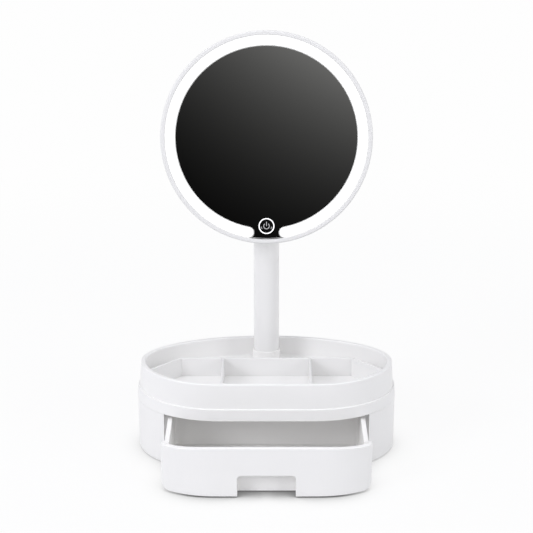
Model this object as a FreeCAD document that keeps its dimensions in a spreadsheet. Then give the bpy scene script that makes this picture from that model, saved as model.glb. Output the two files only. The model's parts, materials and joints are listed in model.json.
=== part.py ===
import FreeCAD, Part
import Sketcher
import math
import os
import re

# Vanity mirror with drawer.  Millimetres, +Z up, the front faces -Y.
# The origin lies on the table, under the middle of the oval base.

Vector = FreeCAD.Vector

os.makedirs("parts", exist_ok=True)
doc = FreeCAD.newDocument("VanityMirror")
sheet = doc.addObject("Spreadsheet::Sheet", "Sizes")

SIZES = {
    # oval plan of the base: a straight front, elliptical ends and an elliptical back
    "half_width": 128, "half_depth": 71.5, "end_width": 83,
    # levels
    "foot_height": 1, "body_top": 52.7, "seam_height": 64.6, "rim_height": 89,
    # how far each moulding stands inside the oval plan
    "housing_step": 0.3, "housing_shrink": 0.3, "band_shrink": 0.9, "tray_step": 1.5, "tray_shrink": 1.6,
    # drawer housing
    "shell_wall": 2.5, "floor_thick": 2, "base_radius": 1.6, "housing_bevel": 0.4,
    "opening_half": 99.3, "bay_set": 7.7, "guide_gap": 0.5, "guide_wall": 2, "guide_rear": 30,
    "foot_radius": 6, "foot_recess": 0.8, "foot_fit": 0.1, "foot_edge": 0.6,
    "foot_front_x": 108, "foot_front_y": 30, "foot_rear_x": 70, "foot_rear_y": 48,
    "post_x": 112, "post_y": 19, "post_radius": 4.5, "post_land": 4,
    # deck and tray
    "deck_thick": 2.4, "deck_wall": 3, "deck_chamfer": 0.5, "rail_width": 2, "rail_gap": 0.6,
    "stop_half": 60, "stop_thick": 2.2, "stop_reach": 3, "stop_setback": 4,
    "tray_wall": 4.8, "tray_floor": 69, "tray_floor_thick": 2.6, "rim_radius": 1.2, "floor_radius": 2,
    "bowl_shrink": 0.4,
    # divider standing in the tray
    "divider_wall": 2.2, "divider_y": 6, "divider_bend": 85, "divider_angle": 47.3,
    "partition_x": 43, "divider_drop": 1, "divider_fit": 0.25, "divider_radius": 0.6, "reach": 200,
    # column and the socket that it turns in
    "axis_y": 44, "tube_radius": 12.65, "tube_wall": 1.5, "tube_fit": 0.05, "turn_fit": 0.1,
    "sleeve_wall": 1.05, "sleeve_height": 84.4, "sleeve_edge": 0.35, "collar_gap": 0.15,
    "flange_radius": 22, "flange_thick": 3, "socket_floor": 2.2,
    "socket_screw_circle": 17.5, "foot_plate": 2, "spigot_length": 18,
    "washer_radius": 7, "washer_thick": 1,
    # tilting hinge at the top of the column
    "axis_z": 303.6, "yoke_drop": 22, "slot_half": 5.8, "slot_depth": 14, "bolt_radius": 3,
    "bolt_head_radius": 5, "bolt_head": 2.6, "bore_fit": 0.06, "eye_radius": 9, "tongue_half": 5,
    "bolt_sink": 0.6, "bolt_short": 0.4, "seat_fit": 0.3, "thread_fit": 0.02,
    "friction_thick": 0.7, "washer_inset": 0.5, "nut_flats": 9, "nut_thick": 2.4,
    # mirror head, measured along its own normal from the hinge axis
    "head_tilt": 13.4, "head_radius": 102, "cover_back": 14.3, "cover_wall": 2.2, "cover_radius": 6.5,
    "parting": 22, "frame_front": 29.6, "frame_plate": 2.2,
    "frame_lip": 4.1, "lip_radius": 1.5, "lip_edge": 0.4,
    "frame_rib": 1.2, "frame_rib_height": 1.5, "rib_fit": 0.15, "wire_hole": 2,
    "glass_front": 28.8, "glass_thick": 3, "light_width": 10.2, "tab_gap": 1,
    "glass_edge": 0.3, "light_end": 17.4, "light_fit": 0.15, "board_fit": 0.25,
    "diffuser_front": 28.9, "diffuser_wall": 1, "diffuser_skin": 1.5,
    "board_thick": 1, "led_width": 2.8, "led_length": 3.5, "led_height": 0.7, "led_count": 41,
    "led_angle": 330, "pad_margin": 11.7, "touch_inset": 17.4, "touch_radius": 6.5,
    "boss_inset": 16, "boss_radius": 3.6, "screw_sink": 2.4, "boss_count": 6,
    "plate_half_x": 19, "plate_half_y": 23, "plate_corner": 4, "plate_thick": 2.5,
    "plate_screw_x": 13, "plate_screw_y": 17,
    "neck_half": 8, "neck_fit": 0.6,
    "battery_half_x": 30, "battery_low": 30, "battery_high": 66, "battery_thick": 5, "battery_radius": 1.5,
    "pcb_half_x": 12, "pcb_inset": 8, "pcb_length": 44, "pcb_lift": 0.6, "pcb_thick": 1.2,
    "chip_size": 7, "chip_height": 1.2, "board_rib": 2,
    "usb_half_x": 4.5, "usb_height": 3.2, "usb_length": 7.4, "usb_back": 1, "usb_room": 0.3,
    "usb_wall": 0.3, "usb_inset": 1.4,
    # drawer
    "rest_pull": 57, "drawer_half": 95.2, "lip_width": 1.8, "lip_height": 2, "lip_groove": 0.5,
    "drawer_wall": 2.4, "drawer_length": 109.2, "drawer_top": 49.9, "drawer_base": 4.1, "corner_radius": 6,
    "front_half": 99, "front_end": 78, "front_low": 1.2, "front_high": 50.7, "front_thick": 4.2,
    "front_corner": 6, "front_radius": 1, "front_fit": 0.1, "front_clear": 0.6,
    "grip_half": 27.35, "grip_top": 22.6, "grip_radius": 3.8, "grip_depth": 12, "grip_low": 2,
    "grip_head_room": 2, "grip_wall": 2, "grip_edge": 0.5,
    "lug_x": 72, "lug_width": 8, "lug_depth": 9, "lug_height": 10, "lug_land": 0.8,
    # self-tapping screws
    "screw_radius": 1.5, "screw_hole": 1.6, "blind_skin": 0.7,
    "screw_head_radius": 2.9, "screw_head": 2, "head_fit": 0.25,
    "deck_screw_length": 12, "short_screw_length": 8, "foot_screw_length": 16,
    # how deep one feature of a piece sinks into another, and how far a cut runs past the piece
    "root": 0.2, "past": 10,
}

for row, (alias, size) in enumerate(SIZES.items(), 1):
    sheet.set(f"A{row}", alias)
    sheet.set(f"B{row}", str(size))
    sheet.setAlias(f"B{row}", alias)
doc.recompute()


# lengths that follow from the sizes
flat_half = "(half_width - end_width)"
front_flat = "(half_width - front_end)"
deck_under = "(seam_height - deck_thick)"
flange_under = "(seam_height - deck_thick - flange_thick)"
turning_seat = "(seam_height - deck_thick - flange_thick + socket_floor + turn_fit)"
collar_hole = "(tube_radius + turn_fit + sleeve_wall + collar_gap)"
spigot_radius = "(tube_radius - tube_wall - tube_fit)"
bolt_seat = "(tube_radius - bolt_head - bolt_sink)"
cover_inside = "(cover_back + cover_wall)"
plate_front = "(parting + frame_plate)"
light_outer = "(head_radius - frame_lip)"
glass_radius = "(head_radius - frame_lip - light_width)"
tab_radius = "(head_radius - frame_lip - tab_gap)"
pad_radius = "(head_radius - frame_lip - light_width - pad_margin)"
touch_offset = "(head_radius - touch_inset)"
boss_circle = "(head_radius - boss_inset)"
board_low = "(head_radius - pcb_inset)"
board_high = "(head_radius - pcb_inset - pcb_length)"
board_top = "(cover_back + cover_wall + pcb_lift + pcb_thick)"
usb_reach = "(head_radius - usb_inset)"


# ---------------------------------------------------------------- helpers

def link(text):
    return re.sub(r"[a-z]\w*(?!\w*\()", lambda name: "Sizes." + name.group(), text)


def number(text):
    return float(sheet.evalExpression(str(text)))


def body(label, many=False):
    new = doc.addObject("PartDesign::Body", label)
    new.Label = label
    if many:
        new.AllowCompound = True
    return new


def sketch(owner, height="0", role="XY_Plane"):
    new = owner.newObject("Sketcher::SketchObject", owner.Label + "_sketch")
    plane = [item for item in owner.Origin.OriginFeatures if item.Role == role][0]
    new.AttachmentSupport = [(plane, "")]
    new.MapMode = "FlatFace"
    new.setExpression("AttachmentOffset.Base.z", link(height))
    return new


def bind(drawing, kind, ends, text):
    index = drawing.addConstraint(Sketcher.Constraint(kind, *ends, number(text)))
    drawing.setExpression(f"Constraints[{index}]", link(text))


def fix(drawing, *terms):
    drawing.addConstraint(Sketcher.Constraint(*terms))


def polygon(drawing, corners):
    points = [Vector(number(x), number(y), 0) for x, y in corners]
    after = points[1:] + points[:1]
    lines = drawing.addGeometry([Part.LineSegment(a, b) for a, b in zip(points, after)], False)
    for place, line in enumerate(lines):
        fix(drawing, "Coincident", line, 2, lines[(place + 1) % len(lines)], 1)
        bind(drawing, "DistanceX", (-1, 1, line, 1), corners[place][0])
        bind(drawing, "DistanceY", (-1, 1, line, 1), corners[place][1])
    return lines


def rectangle(drawing, left, right, low, high):
    return polygon(drawing, [(left, low), (right, low), (right, high), (left, high)])


def circle(drawing, x, y, radius):
    centre = Vector(number(x), number(y), 0)
    ring = drawing.addGeometry(Part.Circle(centre, Vector(0, 0, 1), number(radius)), False)
    bind(drawing, "Radius", (ring,), radius)
    bind(drawing, "DistanceX", (-1, 1, ring, 3), x)
    bind(drawing, "DistanceY", (-1, 1, ring, 3), y)


def oval(drawing, inset="0", flat_front=flat_half):
    # straight front, two quarter ellipses and a half ellipse behind, all drawn in by the inset
    flat = number(flat_front)
    wide = number(f"half_width - ({inset})")
    deep = number(f"half_depth - ({inset})")
    quarter = wide - flat
    line, right, rear, left = drawing.addGeometry([
        Part.LineSegment(Vector(-flat, -deep, 0), Vector(flat, -deep, 0)),
        Part.ArcOfEllipse(Part.Ellipse(Vector(flat, 0, 0), quarter, deep), 1.5 * math.pi, 2 * math.pi),
        Part.ArcOfEllipse(Part.Ellipse(Vector(0, 0, 0), wide, deep), 0, math.pi),
        Part.ArcOfEllipse(Part.Ellipse(Vector(-flat, 0, 0), quarter, deep), math.pi, 1.5 * math.pi),
    ], False)
    for arc in (right, rear, left):
        major = drawing.GeometryCount
        drawing.exposeInternalGeometry(arc)
        fix(drawing, "Horizontal", major)
        bind(drawing, "DistanceY", (major + 1, 2, major + 1, 1), f"2 * (half_depth - ({inset}))")
    fix(drawing, "Coincident", rear, 3, -1, 1)
    fix(drawing, "Horizontal", rear, 1, -1, 1)
    fix(drawing, "Horizontal", rear, 2, -1, 1)
    bind(drawing, "DistanceX", (-1, 1, rear, 1), f"half_width - ({inset})")
    for arc, outer, inner, tip, middle in ((right, 2, 1, 1, flat_front), (left, 1, 2, 2, "-" + flat_front)):
        fix(drawing, "PointOnObject", arc, 3, -1)
        bind(drawing, "DistanceX", (-1, 1, arc, 3), middle)
        fix(drawing, "Coincident", arc, outer, rear, tip)
        fix(drawing, "Vertical", arc, inner, arc, 3)
    fix(drawing, "Coincident", line, 1, left, 2)
    fix(drawing, "Coincident", line, 2, right, 1)


def plan_depth(x, inset, flat_front=flat_half):
    # how far the oval's front stands from the X axis at a given x
    reach = f"(half_width - {flat_front} - ({inset}))"
    return f"(half_depth - ({inset})) * sqrt(1 - (({x} - {flat_front}) / {reach})^2)"


bay_front = "(" + plan_depth("opening_half", "housing_step") + " - bay_set)"


def open_ring(drawing, outer, inner, fit="0"):
    # C-shaped ring, open at the bottom, with round ends; fit draws every edge in
    big, small = number(f"{outer} - ({fit})"), number(f"{inner} + ({fit})")
    middle, end = number(f"({outer} + {inner}) / 2"), number("light_end")
    low = -math.sqrt(middle ** 2 - end ** 2)
    turn = math.atan2(low, end)
    cap = (big - small) / 2
    rings = [Part.ArcOfCircle(Part.Circle(Vector(0, 0, 0), Vector(0, 0, 1), size), turn, math.pi - turn)
             for size in (big, small)]
    right_cap = Part.ArcOfCircle(Part.Circle(Vector(end, low, 0), Vector(0, 0, 1), cap),
                                 turn + math.pi, turn + 2 * math.pi)
    left_cap = Part.ArcOfCircle(Part.Circle(Vector(-end, low, 0), Vector(0, 0, 1), cap),
                                math.pi - turn, 2 * math.pi - turn)
    wide, narrow, right, left = drawing.addGeometry(rings + [right_cap, left_cap], False)
    for arc in (wide, narrow):
        fix(drawing, "Coincident", arc, 3, -1, 1)
    fix(drawing, "Tangent", wide, 1, right, 2)
    fix(drawing, "Tangent", narrow, 1, right, 1)
    fix(drawing, "Tangent", wide, 2, left, 1)
    fix(drawing, "Tangent", narrow, 2, left, 2)
    bind(drawing, "Radius", (wide,), f"{outer} - ({fit})")
    bind(drawing, "Radius", (narrow,), f"{inner} + ({fit})")
    bind(drawing, "DistanceX", (-1, 1, right, 3), "light_end")
    bind(drawing, "DistanceX", (-1, 1, left, 3), "-light_end")


def pad(owner, drawing, length, middle=False, back=False):
    new = owner.newObject("PartDesign::Pad", owner.Label + "_pad")
    new.Profile = drawing
    new.Midplane = middle
    new.Reversed = back
    new.setExpression("Length", link(length))
    return new


def pocket(owner, drawing, length=None, up=False, middle=False):
    new = owner.newObject("PartDesign::Pocket", owner.Label + "_pocket")
    new.Profile = drawing
    new.Midplane = middle
    new.Reversed = up
    if length:
        new.setExpression("Length", link(length))
    else:
        new.Type = 1
    return new


def loft(owner, kind, low, high):
    new = owner.newObject("PartDesign::" + kind, owner.Label + "_loft")
    new.Profile = low
    new.Sections = [high]
    return new


def turned(owner, corners, kind="Revolution"):
    drawing = sketch(owner, role="XZ_Plane")
    polygon(drawing, corners)
    new = owner.newObject("PartDesign::" + kind, owner.Label + "_turn")
    new.Profile = drawing
    new.ReferenceAxis = (drawing, ["V_Axis"])
    return new


def dress(owner, kind, feature, size, wanted):
    # fillet or chamfer on the edges of a feature that pass the test
    doc.recompute()
    names = [f"Edge{place}" for place, edge in enumerate(feature.Shape.Edges, 1) if wanted(edge)]
    new = owner.newObject("PartDesign::" + kind, owner.Label + "_" + kind.lower())
    new.Base = (feature, names)
    new.setExpression("Radius" if kind == "Fillet" else "Size", link(size))
    return new


def ring_pattern(owner, feature, count, span="360"):
    new = owner.newObject("PartDesign::PolarPattern", owner.Label + "_pattern")
    new.Originals = [feature]
    new.Axis = ([item for item in owner.Origin.OriginFeatures if item.Role == "Z_Axis"][0], [""])
    new.setExpression("Angle", link(span))
    new.setExpression("Occurrences", link(count))
    owner.Tip = new
    return new


def level(edge, text):
    return all(abs(point.Z - number(text)) < 1e-4 for point in edge.Vertexes)


def upright(edge):
    ends = edge.Vertexes
    return len(ends) == 2 and math.hypot(ends[0].X - ends[1].X, ends[0].Y - ends[1].Y) < 1e-4


def pairs(x, y):
    return [(x, y), (f"-({x})", y)]


def place(owner, y="0", z="0", turn="0"):
    turning = f"rotation(vector(1; 0; 0); {turn})"
    owner.setExpression("Placement", link(f"placement(vector(0; {y}; {z}); {turning})"))


# ---------------------------------------------------------------- base

def drawer_housing():
    # lower shell: floor and walls, open at the top and, across the drawer, at the front
    part = body("drawer_housing")
    foot_inset = "housing_step + housing_shrink"
    low, high = sketch(part, "foot_height"), sketch(part, "body_top - housing_bevel")
    bevel = sketch(part, "body_top")
    oval(low, foot_inset)
    oval(high, "housing_step")
    oval(bevel, "housing_step + housing_bevel")
    loft(part, "AdditiveLoft", low, high)
    loft(part, "AdditiveLoft", high, bevel)
    inside = sketch(part, "body_top")
    oval(inside, foot_inset + " + shell_wall")
    shell = pocket(part, inside, "body_top - foot_height - floor_thick")
    dress(part, "Fillet", shell, "base_radius", lambda edge: level(edge, "foot_height"))
    mouth = sketch(part, "body_top")
    rectangle(mouth, "-opening_half", "opening_half", "-half_depth - past", "-" + bay_front)
    pocket(part, mouth)

    guides = sketch(part, "foot_height + floor_thick - root")
    edge = "-(" + plan_depth("opening_half + guide_wall", foot_inset + " + shell_wall / 2") + ")"
    face = "drawer_half + guide_gap"
    for side in ("", "-"):
        polygon(guides, [(f"{side}({x})", y) for x, y in (
            ("opening_half", edge), ("opening_half + guide_wall", edge),
            ("opening_half + guide_wall", f"guide_wall - {bay_front}"),
            (f"{face} + guide_wall", f"guide_wall - {bay_front}"), (f"{face} + guide_wall", "guide_rear"),
            (face, "guide_rear"), (face, "-" + bay_front), ("opening_half", "-" + bay_front))])
    pad(part, guides, "body_top - foot_height - floor_thick + root")

    posts = sketch(part, "foot_height + floor_thick - root")
    for x, y in pairs("post_x", "post_y") + pairs("post_x", "-post_y"):
        circle(posts, x, y, "post_radius")
    pad(part, posts, "body_top - foot_height - floor_thick + root")
    wells = (("screw_head_radius + head_fit", "body_top - foot_height - post_land"), ("screw_hole", None))
    for radius, depth in wells:
        holes = sketch(part, "foot_height")
        for x, y in pairs("post_x", "post_y") + pairs("post_x", "-post_y"):
            circle(holes, x, y, radius)
        pocket(part, holes, depth, up=True)

    recesses = sketch(part, "foot_height")
    for x, y in pairs("foot_front_x", "-foot_front_y") + pairs("foot_rear_x", "foot_rear_y"):
        circle(recesses, x, y, "foot_radius + foot_fit")
    pocket(part, recesses, "foot_recess", up=True)


def rubber_feet():
    part = body("rubber_feet", many=True)
    discs = sketch(part)
    for x, y in pairs("foot_front_x", "-foot_front_y") + pairs("foot_rear_x", "foot_rear_y"):
        circle(discs, x, y, "foot_radius")
    feet = pad(part, discs, "foot_height + foot_recess")
    dress(part, "Chamfer", feet, "foot_edge", lambda edge: level(edge, "0"))


def screws(label, spots, length, head_at, down=False, y="0", z="0", turn="0"):
    # pan-head screws in one node: head_at is the level where head and thread meet
    part = body(label, many=True)
    heads, threads = sketch(part, head_at), sketch(part, head_at)
    for x, depth in spots:
        circle(heads, x, depth, "screw_head_radius")
        circle(threads, x, depth, "screw_radius")
    pad(part, heads, "screw_head", back=not down)
    pad(part, threads, length, back=down)
    place(part, y, z, turn)
    return part


def deck_band():
    # the band round the middle, with the deck that carries the tray and roofs the drawer bay
    part = body("deck_band")
    low, high = sketch(part, "body_top"), sketch(part, "seam_height")
    oval(low)
    oval(high, "band_shrink")
    loft(part, "AdditiveLoft", low, high)
    hollow = sketch(part, "body_top")
    oval(hollow, "deck_wall")
    band = pocket(part, hollow, f"{deck_under} - body_top", up=True)
    dress(part, "Chamfer", band, "deck_chamfer",
          lambda edge: level(edge, "seam_height") or level(edge, "body_top"))

    posts = sketch(part, "body_top")
    for x, y in pairs("post_x", "post_y") + pairs("post_x", "-post_y"):
        circle(posts, x, y, "post_radius")
    pad(part, posts, f"{deck_under} - body_top + root")
    rails = sketch(part, "drawer_top + rail_gap")
    inner = "drawer_half - rail_width"
    for left, right in ((inner, "drawer_half"), ("-drawer_half", f"-({inner})")):
        rectangle(rails, left, right, "-" + bay_front, "guide_rear")
    pad(part, rails, f"{deck_under} - drawer_top - rail_gap + root")
    stop = sketch(part, "drawer_top - stop_reach")
    back = f"-{bay_front} - stop_setback"
    rectangle(stop, "-stop_half", "stop_half", f"{back} - stop_thick", back)
    pad(part, stop, f"{deck_under} - drawer_top + stop_reach + root")

    pilots = sketch(part, "body_top")
    for x, y in pairs("post_x", "post_y") + pairs("post_x", "-post_y"):
        circle(pilots, x, y, "screw_radius")
    pocket(part, pilots, "deck_screw_length - post_land + 1", up=True)
    opening = sketch(part, "seam_height")
    circle(opening, "0", "axis_y", collar_hole)
    for x, y in socket_spots():
        circle(opening, x, y, "screw_radius")
    pocket(part, opening)


def socket_spots():
    side, back = "socket_screw_circle * cos(30)", "axis_y + socket_screw_circle * sin(30)"
    return [("0", "axis_y - socket_screw_circle")] + pairs(side, back)


def organiser_tray():
    # top moulding: a tapered oval bowl with a thick rounded rim, hollow under its floor
    part = body("organiser_tray")
    foot, top = "band_shrink + tray_step", "band_shrink + tray_step + tray_shrink"
    low, high = sketch(part, "seam_height"), sketch(part, "rim_height")
    oval(low, foot)
    oval(high, top)
    loft(part, "AdditiveLoft", low, high)
    floor, mouth = sketch(part, "tray_floor"), sketch(part, "rim_height")
    oval(floor, f"{top} + tray_wall + bowl_shrink")
    oval(mouth, f"{top} + tray_wall")
    loft(part, "SubtractiveLoft", floor, mouth)

    under = sketch(part, "seam_height")
    oval(under, f"{top} + tray_wall")
    for x, y in socket_spots():
        circle(under, x, y, "screw_head_radius + head_fit")
    pocket(part, under, "tray_floor - tray_floor_thick - seam_height", up=True)
    pilots = sketch(part, "seam_height")
    for x, y in socket_spots():
        circle(pilots, x, y, "screw_radius")
    pocket(part, pilots, "tray_floor - seam_height - 1", up=True)
    opening = sketch(part, "rim_height")
    circle(opening, "0", "axis_y", collar_hole)
    bowl = pocket(part, opening)
    rim = dress(part, "Fillet", bowl, "rim_radius", lambda edge: level(edge, "rim_height"))
    dress(part, "Fillet", rim, "floor_radius",
          lambda edge: level(edge, "tray_floor") and edge.BoundBox.XLength > 3 * number("tube_radius"))


def divider():
    # upright insert: a back wall with two slanting ends, and two partitions, fitted to the bowl
    part = body("divider")
    top = "band_shrink + tray_step + tray_shrink + tray_wall + divider_fit"
    floor, mouth = sketch(part, "tray_floor"), sketch(part, "rim_height")
    oval(floor, f"{top} + bowl_shrink")
    oval(mouth, top)
    loft(part, "AdditiveLoft", floor, mouth)

    half = "divider_wall / 2"
    corner = f"{half} * tan(divider_angle / 2)"
    out, drop = "reach * cos(divider_angle)", "reach * sin(divider_angle)"
    back = [(f"divider_bend + {corner}", f"divider_y + {half}"),
            (f"divider_bend + {corner} + {out}", f"divider_y + {half} - {drop}")]
    front = [(f"divider_bend - {corner}", f"divider_y - {half}"),
             (f"divider_bend - {corner} + {out}", f"divider_y - {half} - {drop}")]
    mirrored = [(f"-({x})", y) for x, y in back]
    rooms = sketch(part, "rim_height")
    far = [(back[1][0], "reach"), (mirrored[1][0], "reach")]
    polygon(rooms, [mirrored[1], mirrored[0], back[0], back[1]] + far)
    for side in ("", "-"):
        polygon(rooms, [(f"{side}({x})", y) for x, y in (
            (f"partition_x + {half}", f"divider_y - {half}"), front[0], front[1],
            (front[1][0], "-reach"), (f"partition_x + {half}", "-reach"))])
    rectangle(rooms, f"{half} - partition_x", f"partition_x - {half}", "-reach", f"divider_y - {half}")
    pocket(part, rooms)
    corners = sketch(part, "tray_floor")
    rectangle(corners, "-reach", "reach", "-reach", "reach")
    oval(corners, f"{top} + bowl_shrink + floor_radius")
    pocket(part, corners, "floor_radius", up=True)
    lid = sketch(part, "rim_height")
    rectangle(lid, "-reach", "reach", "-reach", "reach")
    walls = pocket(part, lid, "divider_drop")
    dress(part, "Fillet", walls, "divider_radius", lambda edge: level(edge, "rim_height - divider_drop"))


def column_socket():
    # flanged sleeve: hangs under the deck and stands up through the tray as a collar
    part = body("column_socket")
    bore, sleeve = "tube_radius + turn_fit", "tube_radius + turn_fit + sleeve_wall"
    seat = f"{flange_under} + socket_floor"
    turn = turned(part, [
        ("bolt_radius", flange_under), ("flange_radius", flange_under), ("flange_radius", deck_under),
        (sleeve, deck_under), (sleeve, "sleeve_height"), (bore, "sleeve_height"), (bore, seat),
        ("bolt_radius", seat)])
    dress(part, "Chamfer", turn, "sleeve_edge", lambda edge: level(edge, "sleeve_height"))
    holes = sketch(part, deck_under)
    for x, y in socket_spots():
        circle(holes, x, f"{y} - axis_y", "screw_hole")
    pocket(part, holes)
    place(part, "axis_y")


# ---------------------------------------------------------------- column

def column_foot():
    # plug in the tube's lower end, which turns on the socket's floor
    part = body("column_foot")
    step, top = f"{turning_seat} + foot_plate", f"{turning_seat} + foot_plate + spigot_length"
    turned(part, [("screw_radius", turning_seat), ("tube_radius", turning_seat), ("tube_radius", step),
                  (spigot_radius, step), (spigot_radius, top), ("screw_radius", top)])
    place(part, "axis_y")


def column_tube():
    part = body("column_tube")
    low = f"{turning_seat} + foot_plate"
    ring = sketch(part, low)
    circle(ring, "0", "0", "tube_radius")
    circle(ring, "0", "0", "tube_radius - tube_wall")
    pad(part, ring, f"axis_z - yoke_drop - ({low})")
    place(part, "axis_y")


def foot_washer():
    part = body("foot_washer")
    ring = sketch(part, f"{flange_under} - turn_fit")
    circle(ring, "0", "0", "washer_radius")
    circle(ring, "0", "0", "screw_hole")
    pad(part, ring, "washer_thick", back=True)
    place(part, "axis_y")


def hinge_yoke():
    # cap of the column: a spigot in the tube and a fork with a rounded top
    part = body("hinge_yoke")
    stem = sketch(part, "-yoke_drop")
    circle(stem, "0", "0", "tube_radius")
    pad(part, stem, "yoke_drop + tube_radius")
    spigot = sketch(part, "-yoke_drop")
    circle(spigot, "0", "0", spigot_radius)
    pad(part, spigot, "spigot_length", back=True)

    arch = sketch(part, role="YZ_Plane")
    radius, side = number("tube_radius"), number("tube_radius + past")
    corners = [Vector(x, y, 0) for x, y in ((radius, 0), (side, 0), (side, side), (-side, side), (-side, 0),
                                            (-radius, 0))]
    bow, *lines = arch.addGeometry(
        [Part.ArcOfCircle(Part.Circle(Vector(0, 0, 0), Vector(0, 0, 1), radius), 0, math.pi)]
        + [Part.LineSegment(a, b) for a, b in zip(corners, corners[1:])], False)
    fix(arch, "Coincident", bow, 3, -1, 1)
    bind(arch, "Radius", (bow,), "tube_radius")
    fix(arch, "Coincident", bow, 1, lines[0], 1)
    fix(arch, "Coincident", bow, 2, lines[-1], 2)
    for first, second in zip(lines, lines[1:]):
        fix(arch, "Coincident", first, 2, second, 1)
    for line, run in zip(lines, ("Horizontal", "Vertical", "Horizontal", "Vertical", "Horizontal")):
        fix(arch, run, line)
    fix(arch, "PointOnObject", bow, 1, -1)
    bind(arch, "DistanceX", (-1, 1, lines[0], 2), "tube_radius + past")
    bind(arch, "DistanceY", (-1, 1, lines[1], 2), "tube_radius + past")
    bind(arch, "DistanceX", (-1, 1, lines[3], 1), "-tube_radius - past")
    pocket(part, arch, "4 * tube_radius", middle=True)

    slot = sketch(part, role="YZ_Plane")
    rectangle(slot, "-2 * tube_radius", "2 * tube_radius", "-slot_depth", "2 * tube_radius")
    pocket(part, slot, "2 * slot_half", middle=True)
    bore = sketch(part, role="YZ_Plane")
    circle(bore, "0", "0", "bolt_radius + bore_fit")
    pocket(part, bore, "4 * tube_radius", middle=True)
    for side, up in (("", True), ("-", False)):
        seat = sketch(part, side + bolt_seat, role="YZ_Plane")
        circle(seat, "0", "0", "bolt_head_radius + seat_fit")
        pocket(part, seat, "2 * tube_radius", up=up)
    place(part, "axis_y", "axis_z")


def hinge_bolt():
    part = body("hinge_bolt")
    head, shank = (sketch(part, "-" + bolt_seat, role="YZ_Plane") for _ in range(2))
    circle(head, "0", "0", "bolt_head_radius")
    circle(shank, "0", "0", "bolt_radius")
    pad(part, head, "bolt_head", back=True)
    pad(part, shank, f"{bolt_seat} + tube_radius - bolt_sink - bolt_short")
    place(part, "axis_y", "axis_z")


def hinge_nut():
    # hexagon nut in the right-hand seat
    part = body("hinge_nut")
    drawing = sketch(part, bolt_seat, role="YZ_Plane")
    corner = "nut_flats / 2 / cos(30)"
    polygon(drawing, [(f"{corner} * cos({turn})", f"{corner} * sin({turn})") for turn in range(0, 360, 60)])
    circle(drawing, "0", "0", "bolt_radius + thread_fit")
    pad(part, drawing, "nut_thick")
    place(part, "axis_y", "axis_z")


def friction_washers():
    # one disc each side of the tongue
    part = body("friction_washers", many=True)
    gap = "(slot_half - tongue_half - friction_thick) / 2"
    for side, back in (("", False), ("-", True)):
        ring = sketch(part, f"{side}(tongue_half + {gap})", role="YZ_Plane")
        circle(ring, "0", "0", "eye_radius - washer_inset")
        circle(ring, "0", "0", "bolt_radius + bore_fit")
        pad(part, ring, "friction_thick", back=back)
    place(part, "axis_y", "axis_z")


# ---------------------------------------------------------------- mirror head

def on_head(part):
    place(part, "axis_y", "axis_z", "90 - head_tilt")


def hinge_bracket():
    # plate inside the back cover, and the tongue that reaches back to the bolt
    part = body("hinge_bracket")
    plate = sketch(part, cover_inside)
    rectangle(plate, "-plate_half_x", "plate_half_x", "-plate_half_y", "plate_half_y")
    slab = pad(part, plate, "plate_thick")
    dress(part, "Fillet", slab, "plate_corner", upright)
    neck = sketch(part, role="YZ_Plane")
    rectangle(neck, "-neck_half", "neck_half", "0", f"{cover_inside} + plate_thick / 2")
    pad(part, neck, "2 * tongue_half", middle=True)
    eye = sketch(part, role="YZ_Plane")
    circle(eye, "0", "0", "eye_radius")
    pad(part, eye, "2 * tongue_half", middle=True)
    bore = sketch(part, role="YZ_Plane")
    circle(bore, "0", "0", "bolt_radius + bore_fit")
    pocket(part, bore, "4 * tongue_half", middle=True)
    holes = sketch(part, f"{cover_inside} + plate_thick")
    for x, y in pairs("plate_screw_x", "plate_screw_y") + pairs("plate_screw_x", "-plate_screw_y"):
        circle(holes, x, y, "screw_hole")
    pocket(part, holes)
    on_head(part)


def back_cover():
    # shallow dish with a rounded edge, six screw bosses, the tongue's slot and the socket's window
    part = body("back_cover")
    inside = "head_radius - cover_wall"
    turn = turned(part, [
        ("0", "cover_back"), ("head_radius", "cover_back"), ("head_radius", "parting"),
        (inside, "parting"), (inside, cover_inside), ("0", cover_inside)])
    reach = number("head_radius")
    edge = dress(part, "Fillet", turn, "cover_radius",
                 lambda item: level(item, "cover_back") and item.BoundBox.XMax > reach - 0.01)
    wall = number(inside)
    dress(part, "Chamfer", edge, f"parting - frame_rib_height - rib_fit - {cover_inside}",
          lambda item: level(item, cover_inside) and item.BoundBox.XMax > wall - 0.01)

    boss = sketch(part, f"{cover_inside} - root")
    circle(boss, boss_circle, "0", "boss_radius")
    ring_pattern(part, pad(part, boss, f"parting - {cover_inside} + root"), "boss_count")
    for radius, depth in (("screw_head_radius + head_fit", "screw_sink"), ("screw_hole", "parting")):
        hole = sketch(part, "cover_back")
        circle(hole, boss_circle, "0", radius)
        ring_pattern(part, pocket(part, hole, depth, up=True), "boss_count")

    slot = sketch(part, "cover_back")
    rectangle(slot, "-tongue_half - neck_fit", "tongue_half + neck_fit", "-neck_half - neck_fit",
              "neck_half + neck_fit")
    pocket(part, slot, up=True)
    pilots = sketch(part, cover_inside)
    for x, y in pairs("plate_screw_x", "plate_screw_y") + pairs("plate_screw_x", "-plate_screw_y"):
        circle(pilots, x, y, "screw_radius")
    pocket(part, pilots, "cover_wall - blind_skin")
    ribs = sketch(part, f"{cover_inside} - root")
    for x in ("0", "pcb_half_x - board_rib", "board_rib - pcb_half_x"):
        rectangle(ribs, f"{x} - board_rib / 2", f"{x} + board_rib / 2",
                  f"board_rib - {board_low}", f"-{board_high} - board_rib")
    pad(part, ribs, "pcb_lift + root")
    window = sketch(part, f"{board_top} - root")
    half = "usb_half_x + usb_room"
    rectangle(window, f"-({half})", half, "-head_radius - past", "-" + board_low)
    pocket(part, window, "parting", up=True)
    on_head(part)


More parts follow.
